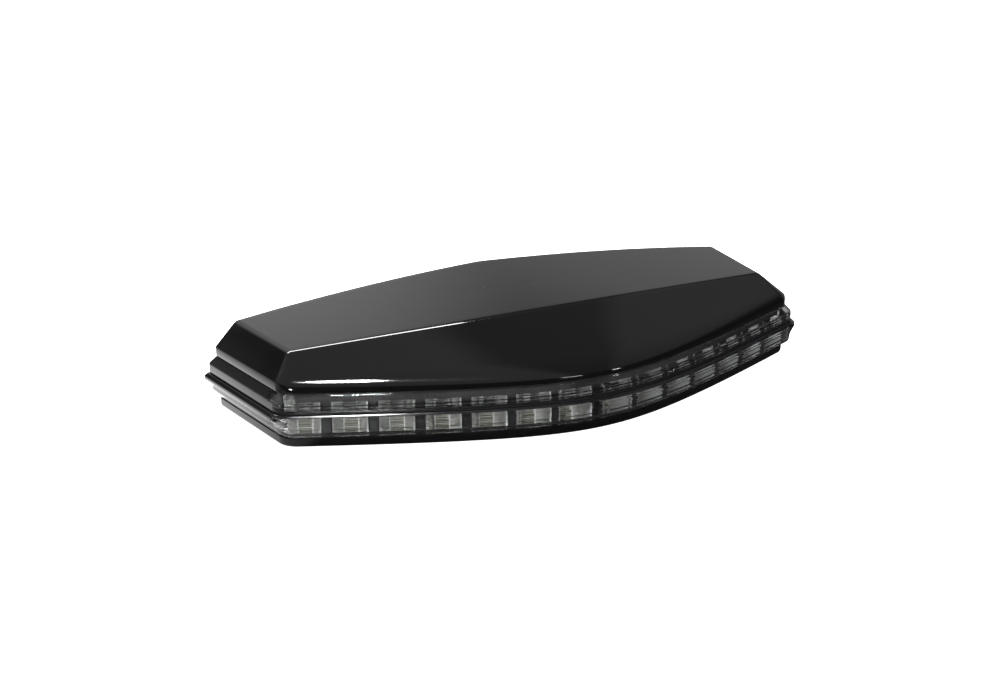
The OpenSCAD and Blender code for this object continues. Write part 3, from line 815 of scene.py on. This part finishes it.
hand_over(two_shot(band("upper_lens_shell", upper_loop, smoked)), "smoked_lens", "upper_lens")
hand_over(two_shot(band("lower_lens_shell", ends_loop, smoked, nose_loop)), "smoked_lens", "lower_lens")

# %% [markdown]
# ## Seals
# The black lines between the shells are thin rubber rings. They follow the same outline, so they are
# lofted as well, and a real one is squeezed out a little in the middle of its height.

# %% Seals
seal_soft = 0.06
seal_back, seal_wide, seam_back = 0.35, 1.2, 0.2


def seal(name, outer, inner, low, high, node):
    section = [[outer, low], [outer - seal_soft, (low + high) / 2], [outer, high],
               [inner, high], [inner, low]]
    return hand_over(band(name, softened(section, seal_soft, 2), seal_rubber), "seal_rubber", node)


cap_seal_in, base_seal_in = cap_in + seal_back, base_in + seal_back
seal("cap_seal_ring", cap_seal_in, cap_seal_in + seal_wide, lens_high, joint_z, "cap_seal")
seal("seam_gasket_ring", upper_in + seam_back, upper_in + lens_wall, seam_z, gasket_z, "seam_gasket")
seal("base_gasket_ring", base_seal_in, base_seal_in + seal_wide, base_z, lens_low, "base_gasket")

# %% [markdown]
# ## Top cap
# The cap is the lamp's face: a low riser, a soft roll-over along the nose, a broad slope, and a flat
# top plate that is crowned along its length. It could be box-modelled and subdivided, but the plate's
# outline and the riser's outline correspond point for point, so lofting between them gives exact,
# clean highlights. The roll-over is one Bezier per point, wide along the nose and nearly sharp at the ends.

# %% Plate outline, point for point with the rim
plate_z = 19.2
plate_front = np.array([62.5, -3.6])
plate_back = np.array([66.1, 23.2])
plate_apex = np.array([0, 30.5])
plate_bow, plate_mid_y = 7.0, 8.0
plate_front_r, plate_back_r = 0.9, 0.6
# The shoulder of the rim has no corner on the plate: its points lie on the plate's back edge, this far along.
shoulder_share, shoulder_step = 0.12, 0.005
plate_crown = cap_top - plate_z
along_plate = unit([1, 2 * plate_bow / plate_front[0]])
along_plate_end = unit(plate_back - plate_front)
along_plate_back = unit(plate_apex - plate_back)
past_plate_apex = np.array([along_plate_back[0], -along_plate_back[1]])


def crown(x):
    return plate_z + plate_crown * (1 - (x / plate_back[0]) ** 2)


def plate_outline():
    front = corner_arc(plate_front, along_plate, along_plate_end, plate_front_r, corner_cuts)
    back = corner_arc(plate_back, along_plate_end, along_plate_back, plate_back_r, small_cuts)
    behind = [plate_back + (shoulder_share + shoulder_step * k) * (plate_apex - plate_back)
              for k in range(small_cuts + 1)]
    point = corner_arc(plate_apex, along_plate_back, past_plate_apex, apex_r, small_cuts)
    reach = front[0][0]
    nose = [np.array([x, plate_front[1] - plate_bow * (1 - (x / plate_front[0]) ** 2)])
            for x in np.linspace(-reach, reach, nose_cuts + 1)[1:-1]]
    return whole_ring(nose, front, back, behind, point)


def moved_in(flat, d):
    """A dense outline set in by d along its own normals."""
    ahead = np.roll(flat, -1, 0) - np.roll(flat, 1, 0)
    ahead /= np.linalg.norm(ahead, axis=1)[:, None]
    return flat + d * np.column_stack([-ahead[:, 1], ahead[:, 0]])


def on_plate(flat, drop=0.0):
    return np.column_stack([flat, crown(flat[:, 0]) - drop])


plate = plate_outline()
print("plate points:", len(plate), "top", round(float(crown(0)), 2), "mm")

# %% Roll-over and slope
roll_high, roll_long = 1.6, 0.25
crease_high, crease_long = 0.25, 0.03
roll_cuts, slope_cuts, edge_cuts, top_cuts, inner_cuts = 12, 4, 4, 14, 6
edge_soft, lip = 0.9, 0.12
cap_wall, inner_drop, inner_share = 1.8, 0.9, 0.97


def curve(a, middle, b, t):
    return (1 - t) ** 2 * a + 2 * t * (1 - t) * middle + t ** 2 * b


def cap_rings():
    riser = set_in(cap_in)
    edge = on_plate(plate)
    crease = np.column_stack([riser, np.full(ring_count, crease_z)])
    below = crease - np.array([0, 0, 1]) * (crease_high + (roll_high - crease_high) * spread)
    above = crease + (edge - crease) * (crease_long + (roll_long - crease_long) * spread)
    down_slope = (above - edge) / np.linalg.norm(above - edge, axis=1)[:, None]
    slope_end = edge + down_slope * edge_soft
    plate_start = on_plate(moved_in(plate, edge_soft))
    rings = [ring_at(cap_in + lip, joint_z), ring_at(cap_in, joint_z + lip)]
    rings += [curve(below, crease, above, t) for t in np.linspace(0, 1, roll_cuts + 1)]
    rings += [above + (slope_end - above) * k / slope_cuts for k in range(1, slope_cuts)]
    rings += [curve(slope_end, edge, plate_start, t) for t in np.linspace(0, 1, edge_cuts + 1)]
    start = moved_in(plate, edge_soft)
    middle = np.array([0, plate_mid_y])
    rings += [on_plate(middle + (start - middle) * (1 - k / top_cuts)) for k in range(1, top_cuts)]
    inner = [on_plate(middle + (start - middle) * inner_share * k / inner_cuts, cap_wall)
             for k in range(1, inner_cuts + 1)]
    inner += [ring_at(cap_in + cap_wall, crease_z - inner_drop), ring_at(cap_in + cap_wall, joint_z)]
    return inner + rings


def cap_shell():
    rings = cap_rings()
    points = np.vstack(rings + [[[0, plate_mid_y, crown(0) - cap_wall]], [[0, plate_mid_y, crown(0)]]])
    last = len(rings) * ring_count
    faces = loft_faces(len(rings), ring_count, False)
    faces += [(last, (i + 1) % ring_count, i) for i in range(ring_count)]
    faces += [(last + 1, last - ring_count + i, last - ring_count + (i + 1) % ring_count)
              for i in range(ring_count)]
    return finish_mesh("top_cap_shell", points, faces, cap_black)


hand_over(cap_shell(), "cap_gloss_black", "top_cap")

# %% [markdown]
# ## Posts inside the cap
# Four hollow posts hang from the cap, and the housing screws bite into them. A post is a turned shape,
# so its half section is spun round: outside, mouth with a small countersink, bore, closed end.

# %% Posts
post_r, bore_r, bore_deep = 3.2, 1.25, 8.0
mouth, post_edge, under_top = 0.4, 0.2, 1.0
post_low = low_of("top_cap")[2]
post_places = [(57, 13), (-57, 13), (24, -7), (-24, -7)]


def turned(profile, places, around=40):
    """Closed turned solids: profile is radius and height pairs from the axis out and back to the axis."""
    points, faces = [], []
    for px, py, up in places:
        first = len(points)
        for r, z in profile:
            for k in range(around):
                a = 2 * math.pi * k / around
                points.append((px + r * math.cos(a), py + r * math.sin(a), z + up))
        for quad in loft_faces(len(profile), around, False):
            faces.append(tuple(first + i for i in quad))
        for ring in caps(around, (len(profile) - 1) * around):
            faces.append(tuple(first + i for i in ring))
    return points, faces


def cap_posts():
    points, faces = [], []
    for x, y in post_places:
        top = crown(x) - under_top - post_low
        profile = [(bore_r, bore_deep), (bore_r, mouth), (bore_r + mouth, 0), (post_r - post_edge, 0),
                   (post_r, post_edge), (post_r, top)]
        made, joined_faces = turned(profile, [(x, y, post_low)])
        faces += [tuple(len(points) + i for i in f) for f in joined_faces]
        points += made
    return finish_mesh("cap_posts", points, faces, cap_black)


hand_over(cap_posts(), "cap_gloss_black", "top_cap")

# %% [markdown]
# ## Base
# The base is a flat tray with bosses for the inserts, sleeves for the screws and stand-offs for the
# board. Its rim is lofted like the other shells, and the holes are cut with the exact Boolean, which
# leaves true round edges. The Boolean is applied at once, so the piece is a plain mesh.

# %% Base
boss_places = [(30, 12), (-30, 12)]
stand_places = [(x * 46, 9 + y * 8.5) for x in (-1, 1) for y in (-1, 1)]
board_low = low_of("main_board")[2]
insert_high = high_of("threaded_inserts")[2]
boss_r, sleeve_r, stand_r, boss_past = 5.6, 4.2, 2.5, 1.1
insert_hole_r, screw_hole_r, head_hole_r, pilot_hole_r = 3.5, 1.6, 3.2, 1.0
grommet_hole_r, vent_hole_r = 3.6, 2.5
in_floor, below_tray, above_floor, above_tray = 1, -1, 6, 20
head_deep, pilot_low = 2.5, 4


def cylinder_at(place, r, low, high):
    points, faces = turned([(r, low), (r, high)], [(*place, 0)], 48)
    return finish_mesh("cylinder", points, faces, base_black, weighted=False)


def middle_of(node):
    return ((low_of(node) + high_of(node)) / 2)[:2]


def applied(target, operation, tools):
    """The target joined with the tools, or cut by them, as a plain mesh; the tools are removed."""
    for tool in tools:
        cut = target.modifiers.new("cut", "BOOLEAN")
        cut.operation = operation
        cut.solver = "EXACT"
        cut.object = tool
    depsgraph = bpy.context.evaluated_depsgraph_get()
    mesh = bpy.data.meshes.new_from_object(target.evaluated_get(depsgraph))
    target.modifiers.clear()
    target.data = mesh
    for tool in tools:
        bpy.data.objects.remove(tool)
    return target


def base_tray():
    section = [(base_in + 0.9, 0), (base_in + 0.45, 0.05), (base_in + 0.2, 0.18), (base_in + 0.06, 0.42),
               (base_in, 0.8), (base_in, base_z - 0.05), (base_in + 0.04, base_z)]
    rings = [ring_at(d, z) for d, z in section]
    last = (len(rings) - 1) * ring_count
    faces = loft_faces(len(rings), ring_count, False) + caps(ring_count, last)
    tray = finish_mesh("base_tray", np.vstack(rings), faces, base_black, weighted=False)
    solids = [cylinder_at(place, boss_r, in_floor, insert_high + boss_past) for place in boss_places]
    solids += [cylinder_at(place, sleeve_r, in_floor, post_low) for place in post_places]
    solids += [cylinder_at(place, stand_r, in_floor, board_low) for place in stand_places]
    applied(tray, "UNION", solids)
    holes = [cylinder_at(place, insert_hole_r, below_tray, insert_high) for place in boss_places]
    holes += [cylinder_at(place, screw_hole_r, below_tray, above_tray) for place in post_places]
    holes += [cylinder_at(place, head_hole_r, below_tray, head_deep) for place in post_places]
    holes += [cylinder_at(place, pilot_hole_r, pilot_low, above_tray) for place in stand_places]
    holes.append(cylinder_at((0, middle_of("cable_grommet")[1]), grommet_hole_r, below_tray, above_floor))
    holes.append(cylinder_at(middle_of("breather_vent"), vent_hole_r, below_tray, above_floor))
    applied(tray, "DIFFERENCE", holes)
    sharpen(tray.data, 30)
    even_normals(tray)
    return tray


hand_over(base_tray(), "base_black", "base_plate")

# %% [markdown]
# ## Rows along the nose
# Cups, optics, LEDs and ribs all stand in rows that follow the nose at an even pitch. That is a job for
# Geometry Nodes: one tree takes the nose line, walks along it by length from the middle out to both
# sides, turns each copy square to the line and realises the copies. Only the unit and the numbers differ.

# %% Tree: row along the nose


def row_tree():
    tree = bpy.data.node_groups.new("row_along_nose", "GeometryNodeTree")
    face = tree.interface
    face.new_socket(name="Nose line", in_out="INPUT", socket_type="NodeSocketGeometry")
    face.new_socket(name="Unit", in_out="INPUT", socket_type="NodeSocketObject")
    face.new_socket(name="First place", in_out="INPUT", socket_type="NodeSocketFloat")
    face.new_socket(name="Pitch", in_out="INPUT", socket_type="NodeSocketFloat")
    face.new_socket(name="Per side", in_out="INPUT", socket_type="NodeSocketInt")
    face.new_socket(name="Finish", in_out="INPUT", socket_type="NodeSocketMaterial")
    face.new_socket(name="Row", in_out="OUTPUT", socket_type="NodeSocketGeometry")
    given = tree.nodes.new("NodeGroupInput").outputs
    put = tree.nodes.new("NodeGroupOutput").inputs
    line = tree.nodes.new("GeometryNodeMeshToCurve")
    link(tree, given["Nose line"], line.inputs["Mesh"])
    length = tree.nodes.new("GeometryNodeCurveLength")
    link(tree, line.outputs["Curve"], length.inputs["Curve"])
    index = tree.nodes.new("GeometryNodeInputIndex").outputs[0]
    per_side = given["Per side"]
    step = math_node(tree, "MODULO", index, per_side)
    one_side = math_node(tree, "LESS_THAN", index, per_side)
    side = math_node(tree, "SUBTRACT", math_node(tree, "MULTIPLY", one_side, 2.0), 1.0)
    out_by = math_node(tree, "ADD", given["First place"], math_node(tree, "MULTIPLY", step, given["Pitch"]))
    half = math_node(tree, "MULTIPLY", length.outputs["Length"], 0.5)
    along = math_node(tree, "ADD", half, math_node(tree, "MULTIPLY", side, out_by))
    sample = tree.nodes.new("GeometryNodeSampleCurve")
    sample.mode = "LENGTH"
    link(tree, line.outputs["Curve"], sample.inputs["Curves"])
    link(tree, along, sample.inputs["Length"])
    spots = tree.nodes.new("GeometryNodeMeshLine")
    link(tree, math_node(tree, "MULTIPLY", per_side, 2.0), spots.inputs["Count"])
    placed = tree.nodes.new("GeometryNodeSetPosition")
    link(tree, spots.outputs["Mesh"], placed.inputs["Geometry"])
    link(tree, sample.outputs["Position"], placed.inputs["Position"])
    square = tree.nodes.new("FunctionNodeAlignRotationToVector")
    square.axis = "X"
    square.pivot_axis = "Z"
    link(tree, sample.outputs["Tangent"], square.inputs["Vector"])
    unit_shape = tree.nodes.new("GeometryNodeObjectInfo")
    link(tree, given["Unit"], unit_shape.inputs["Object"])
    copies = tree.nodes.new("GeometryNodeInstanceOnPoints")
    link(tree, placed.outputs["Geometry"], copies.inputs["Points"])
    link(tree, unit_shape.outputs["Geometry"], copies.inputs["Instance"])
    link(tree, square.outputs["Rotation"], copies.inputs["Rotation"])
    real = tree.nodes.new("GeometryNodeRealizeInstances")
    link(tree, copies.outputs["Instances"], real.inputs["Geometry"])
    finish = tree.nodes.new("GeometryNodeSetMaterial")
    link(tree, real.outputs["Geometry"], finish.inputs["Geometry"])
    link(tree, given["Finish"], finish.inputs["Material"])
    link(tree, finish.outputs["Geometry"], put["Row"])
    return tree


nose_row = row_tree()
print("row tree:", len(nose_row.nodes), "nodes")
cell_pitch, first_cell, cells_per_side = 10.3, 5.9, 7
nose_line = np.array([(x, nose_y(x), 0) for x in np.linspace(-corner[0], corner[0], 400)]) * MM
nose_links = [(i, i + 1) for i in range(len(nose_line) - 1)]


def row_of(name, unit_piece, material, first=first_cell, per_side=cells_per_side):
    """The unit repeated along the nose, as a plain mesh."""
    mesh = bpy.data.meshes.new(name + "_line")
    mesh.from_pydata(nose_line.tolist(), nose_links, [])
    host = bpy.data.objects.new(name + "_line", mesh)
    scene.collection.objects.link(host)
    rows = host.modifiers.new("row", "NODES")
    rows.node_group = nose_row
    values = {"Unit": unit_piece, "First place": first * MM, "Pitch": cell_pitch * MM,
              "Per side": per_side, "Finish": material}
    for item in nose_row.interface.items_tree:
        if item.in_out == "INPUT" and item.name in values:
            rows[item.identifier] = values[item.name]
    depsgraph = bpy.context.evaluated_depsgraph_get()
    made = bpy.data.meshes.new_from_object(host.evaluated_get(depsgraph))
    made.name = name
    bpy.data.objects.remove(host)
    bpy.data.objects.remove(unit_piece)
    piece = bpy.data.objects.new(name, made)
    scene.collection.objects.link(piece)
    if not made.materials:
        made.materials.append(material)
    even_normals(piece)
    return piece


# %% [markdown]
# ## Reflector cups
# Each cup is a small funnel, wide at its mouth and as narrow as the LED at its back, with horizontal
# ridges moulded into its walls that break the light into bright lines. Its plan is swept upwards while
# the ridges push the inner face out and in; a floor and a roof close it.

# %% Cup unit
cell_front, cell_deep, cell_back = 4.9, 6.0, 1.0
cell_wide, cell_narrow = 7.8, 6.2
mouth_wide, slot_wide = 7.0, 3.8
cup_skin, ridge_deep, mouth_lip = 0.5, 0.3, 0.3
wall_cuts, ridge_cuts = 5, 8
back_v = cell_front + cell_deep
sill_v = back_v + cell_back / 2


def prism(plan, low, high):
    """A closed upright prism over a plan that runs counter-clockwise."""
    count = len(plan)
    points = [(p[0], p[1], z) for z in (low, high) for p in plan]
    return points, loft_faces(2, count, False) + caps(count, count)


def gathered(name, solids, material):
    points, faces = [], []
    for more_points, more_faces in solids:
        faces += [tuple(len(points) + i for i in f) for f in more_faces]
        points += list(more_points)
    piece = finish_mesh(name, points, faces, material, weighted=False)
    sharpen(piece.data, 28, recalculated=True)
    return piece


def ridged_wall(side, low, high, ridges):
    """One side wall of a cup, from mouth to the slot for the LED."""
    inner_mouth = np.array([side * mouth_wide / 2, cell_front])
    inner_back = np.array([side * slot_wide / 2, back_v])
    outer = [(side * slot_wide / 2, sill_v), (side * cell_narrow / 2, sill_v),
             (side * cell_wide / 2, cell_front + mouth_lip), (side * cell_wide / 2, cell_front)]
    outwards = -side * left_of(unit(inner_back - inner_mouth))
    pushed = [1.0] * wall_cuts + [0.4]
    steps = ridges * ridge_cuts
    points = []
    for k in range(steps + 1):
        z = low + (high - low) * k / steps
        push = ridge_deep * abs(math.sin(math.pi * ridges * k / steps))
        inner = [inner_mouth + (inner_back - inner_mouth) * j / wall_cuts + outwards * push * pushed[j]
                 for j in range(wall_cuts + 1)]
        points += [(p[0], p[1], z) for p in inner + outer]
    count = len(pushed) + len(outer)
    return points, loft_faces(steps + 1, count, False) + caps(count, steps * count)


def cup_walls_unit(low, high, ridges):
    walls = [ridged_wall(side, low + cup_skin, high - cup_skin, ridges) for side in (-1, 1)]
    return gathered("cup_walls_unit", walls, satin_silver)


def cup_floor_unit(low, high, led_high):
    """Floor and roof of a cup, and the sills under and over its LED."""
    plan = [(-cell_wide / 2, cell_front), (cell_wide / 2, cell_front),
            (cell_narrow / 2, sill_v), (-cell_narrow / 2, sill_v)]
    sill = [(-slot_wide / 2, back_v), (slot_wide / 2, back_v),
            (slot_wide / 2, sill_v), (-slot_wide / 2, sill_v)]
    middle = (low + high) / 2
    solids = [prism(plan, low, low + cup_skin), prism(plan, high - cup_skin, high),
              prism(sill, low + cup_skin, middle - led_high / 2),
              prism(sill, middle + led_high / 2, high - cup_skin)]
    return gathered("cup_floor_unit", solids, silvered)


upper_low, upper_high = low_of("reflector_upper")[2], high_of("reflector_upper")[2]
lower_low, lower_high = low_of("reflector_lower")[2], high_of("reflector_lower")[2]
brake_high, tail_high = 3.1, 2.0
cup_ridges = 3
for name, low, high, led_high in (("lower", lower_low, lower_high, brake_high),
                                  ("upper", upper_low, upper_high, tail_high)):
    hand_over(row_of(name + "_cup_walls", cup_walls_unit(low, high, cup_ridges), satin_silver),
              "reflector_silver", "reflector_" + name)
    hand_over(row_of(name + "_cup_floors", cup_floor_unit(low, high, led_high), silvered),
              "reflector_silver", "reflector_" + name)

# %% [markdown]
# ## LEDs and optics
# A brake LED fills the slot at the back of its cup with a ridged window of phosphor in a white frame.
# The tail LEDs above are smaller, and each has a clear D-shaped block in front that spreads its light.

# %% LEDs
led_front = back_v - 0.1
frame_rim, bulge, bulge_back = 0.3, 0.28, 0.35
brake_wide, tail_wide = 3.6, 3.2
led_back = low_of("led_flex_board")[1] - low_of("reflector_lower")[1] + cell_front


def led_frame_unit(wide_mm, high_mm, middle):
    """The four bars of a package round its window: lower, upper, left and right."""
    x, z = wide_mm / 2, high_mm / 2
    x_in, z_in = x - frame_rim, z - frame_rim
    solids = []
    for x0, x1, z0, z1 in ((-x, x, -z, -z_in), (-x, x, z_in, z),
                           (-x, -x_in, -z_in, z_in), (x_in, x, -z_in, z_in)):
        plan = [(x0, led_front), (x1, led_front), (x1, led_back), (x0, led_back)]
        solids.append(prism(plan, middle + z0, middle + z1))
    return gathered("led_frame_unit", solids, package_white)


def ridged_window_unit(wide_mm, high_mm, middle, ridges):
    """A block whose front face is a stack of half-round ridges."""
    half = wide_mm / 2 - frame_rim
    low, high = middle - high_mm / 2 + frame_rim, middle + high_mm / 2 - frame_rim
    steps = ridges * ridge_cuts
    profile = [(led_front + bulge_back - bulge * abs(math.sin(math.pi * ridges * k / steps)),
                low + (high - low) * k / steps) for k in range(steps + 1)]
    profile += [(led_back, high), (led_back, low)]
    count = len(profile)
    points = [(x, v, z) for x in (-half, half) for v, z in profile]
    faces = loft_faces(2, count, False) + caps(count, count)
    return gathered("window_unit", [(points, faces)], phosphor)


lower_middle, upper_middle = (lower_low + lower_high) / 2, (upper_low + upper_high) / 2
for name, wide_mm, high_mm, middle, ridges in (("brake", brake_wide, brake_high, lower_middle, 3),
                                               ("tail", tail_wide, tail_high, upper_middle, 1)):
    hand_over(row_of(name + "_led_frames", led_frame_unit(wide_mm, high_mm, middle), package_white),
              "led_package", name + "_leds")
    hand_over(row_of(name + "_led_windows", ridged_window_unit(wide_mm, high_mm, middle, ridges), phosphor),
              "led_package", name + "_leds")

# %% Clear optics
optic_r, optic_high, optic_soft = 2.1, 2.1, 0.15
optic_gap, optic_long = 0.5, 1.2


def optic_unit():
    """A D-shaped block: round to the front, flat to the LED, with softened upper and lower edges."""
    low = upper_low + cup_skin
    centre = cell_front + optic_r + optic_gap
    arc = np.linspace(math.pi, 2 * math.pi, 19)
    rings = [(optic_soft, 0), (0, optic_soft), (0, optic_high - optic_soft), (optic_soft, optic_high)]
    points = []
    for shrink, up in rings:
        r, back = optic_r - shrink, centre + optic_long - shrink
        plan = [(r * math.cos(a), centre + r * math.sin(a)) for a in arc] + [(r, back), (-r, back)]
        points += [(p[0], p[1], low + up) for p in plan]
    count = len(arc) + 2
    faces = loft_faces(len(rings), count, False) + caps(count, (len(rings) - 1) * count)
    return gathered("optic_unit", [(points, faces)], optic_clear)


hand_over(row_of("d_optics", optic_unit(), optic_clear), "clear_optic", "tail_optics")

# %% [markdown]
# ## Mask
# A black inner frame hides everything but the cups: a wall along the ends and the back, a shelf between
# the two rows, a brow over the upper one, and a rib in each gap. Wall, shelf and brow are open strips
# that follow the outline; the ribs are one more row along the nose.

# %% Mask wall, shelf and brow
mask_in, mask_wall = 4.7, 1.2
mask_high = joint_z - 0.1
mask_front_y, strip_short, strip_cuts = -6, 4, 120
shelf_gap, shelf_ahead = 0.05, 1
shelf_low, shelf_high = lower_high + shelf_gap, upper_low - shelf_gap
shelf_front, shelf_back = mask_in - shelf_ahead, cell_front + cell_deep + cell_back
brow_low, brow_in, brow_thick = 10.0, 3.9, 0.7


def open_strip(outer, inner, low, high):
    """A closed solid along an open run: outer and inner are matching lists of plan points."""
    points = []
    for p, q in zip(outer, inner):
        points += [(*p, low), (*q, low), (*q, high), (*p, high)]
    return points, loft_faces(len(outer), 4, False) + caps(4, 4 * (len(outer) - 1))


def nose_strip(front, back, low, high):
    reach = np.linspace(-corner[0] + strip_short, corner[0] - strip_short, strip_cuts)
    return open_strip([nose_in(x, front) for x in reach], [nose_in(x, back) for x in reach], low, high)


def mask_body():
    outer, inner = set_in(mask_in), set_in(mask_in + mask_wall)
    keep = [i for i in range(ring_count) if outer[i][1] > mask_front_y]
    wall_run = open_strip([outer[i] for i in keep], [inner[i] for i in keep], lens_low, mask_high)
    shelf = nose_strip(shelf_front, shelf_back, shelf_low, shelf_high)
    brow = nose_strip(brow_in, brow_in + brow_thick, brow_low, mask_high)
    return gathered("mask_body", [wall_run, shelf, brow], mask_black)


hand_over(mask_body(), "mask_black", "light_mask")

# %% Mask ribs
rib_wide, rib_deep, rib_bevel, rib_back = 2.3, 5.4, 0.3, 0.2


def rib_unit():
    half, front = rib_wide / 2, mask_in + rib_back
    plan = [(-half + rib_bevel, front), (half - rib_bevel, front), (half, front + rib_bevel),
            (half, front + rib_deep), (-half, front + rib_deep), (-half, front + rib_bevel)]
    return gathered("rib_unit", [prism(plan, lower_low, upper_high)], mask_black)


hand_over(row_of("mask_ribs", rib_unit(), mask_black, first_cell + cell_pitch / 2),
          "mask_black", "light_mask")
hand_over(row_of("mask_middle_rib", rib_unit(), mask_black, 0.0, 1), "mask_black", "light_mask")

# %% [markdown]
# ## Parts that keep their exact shape
# Boards, screws, inserts and the rest are already true to size, so only their finish changes. A CAD
# mesh is never edited; assigning to its material slots is enough.

# %% Finishes for the parts inside
finish_of = {
    "led_flex_board": flex_green, "led_bracket": sheet, "bracket_screws": steel, "main_board": board_green,
    "driver_chip": chip_black, "resistors": chip_black, "capacitors": can, "rectifier_diodes": chip_black,
    "ribbon_connector": ivory, "ribbon_cable": amber, "wire_terminal": terminal, "board_screws": steel,
    "housing_screws": steel, "threaded_inserts": brass, "cable_grommet": seal_rubber,
    "breather_vent": base_black,
}
for node, material in finish_of.items():
    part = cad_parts[node]
    part.data.materials.clear()
    part.data.materials.append(material)
print("finished parts:", len(finish_of))
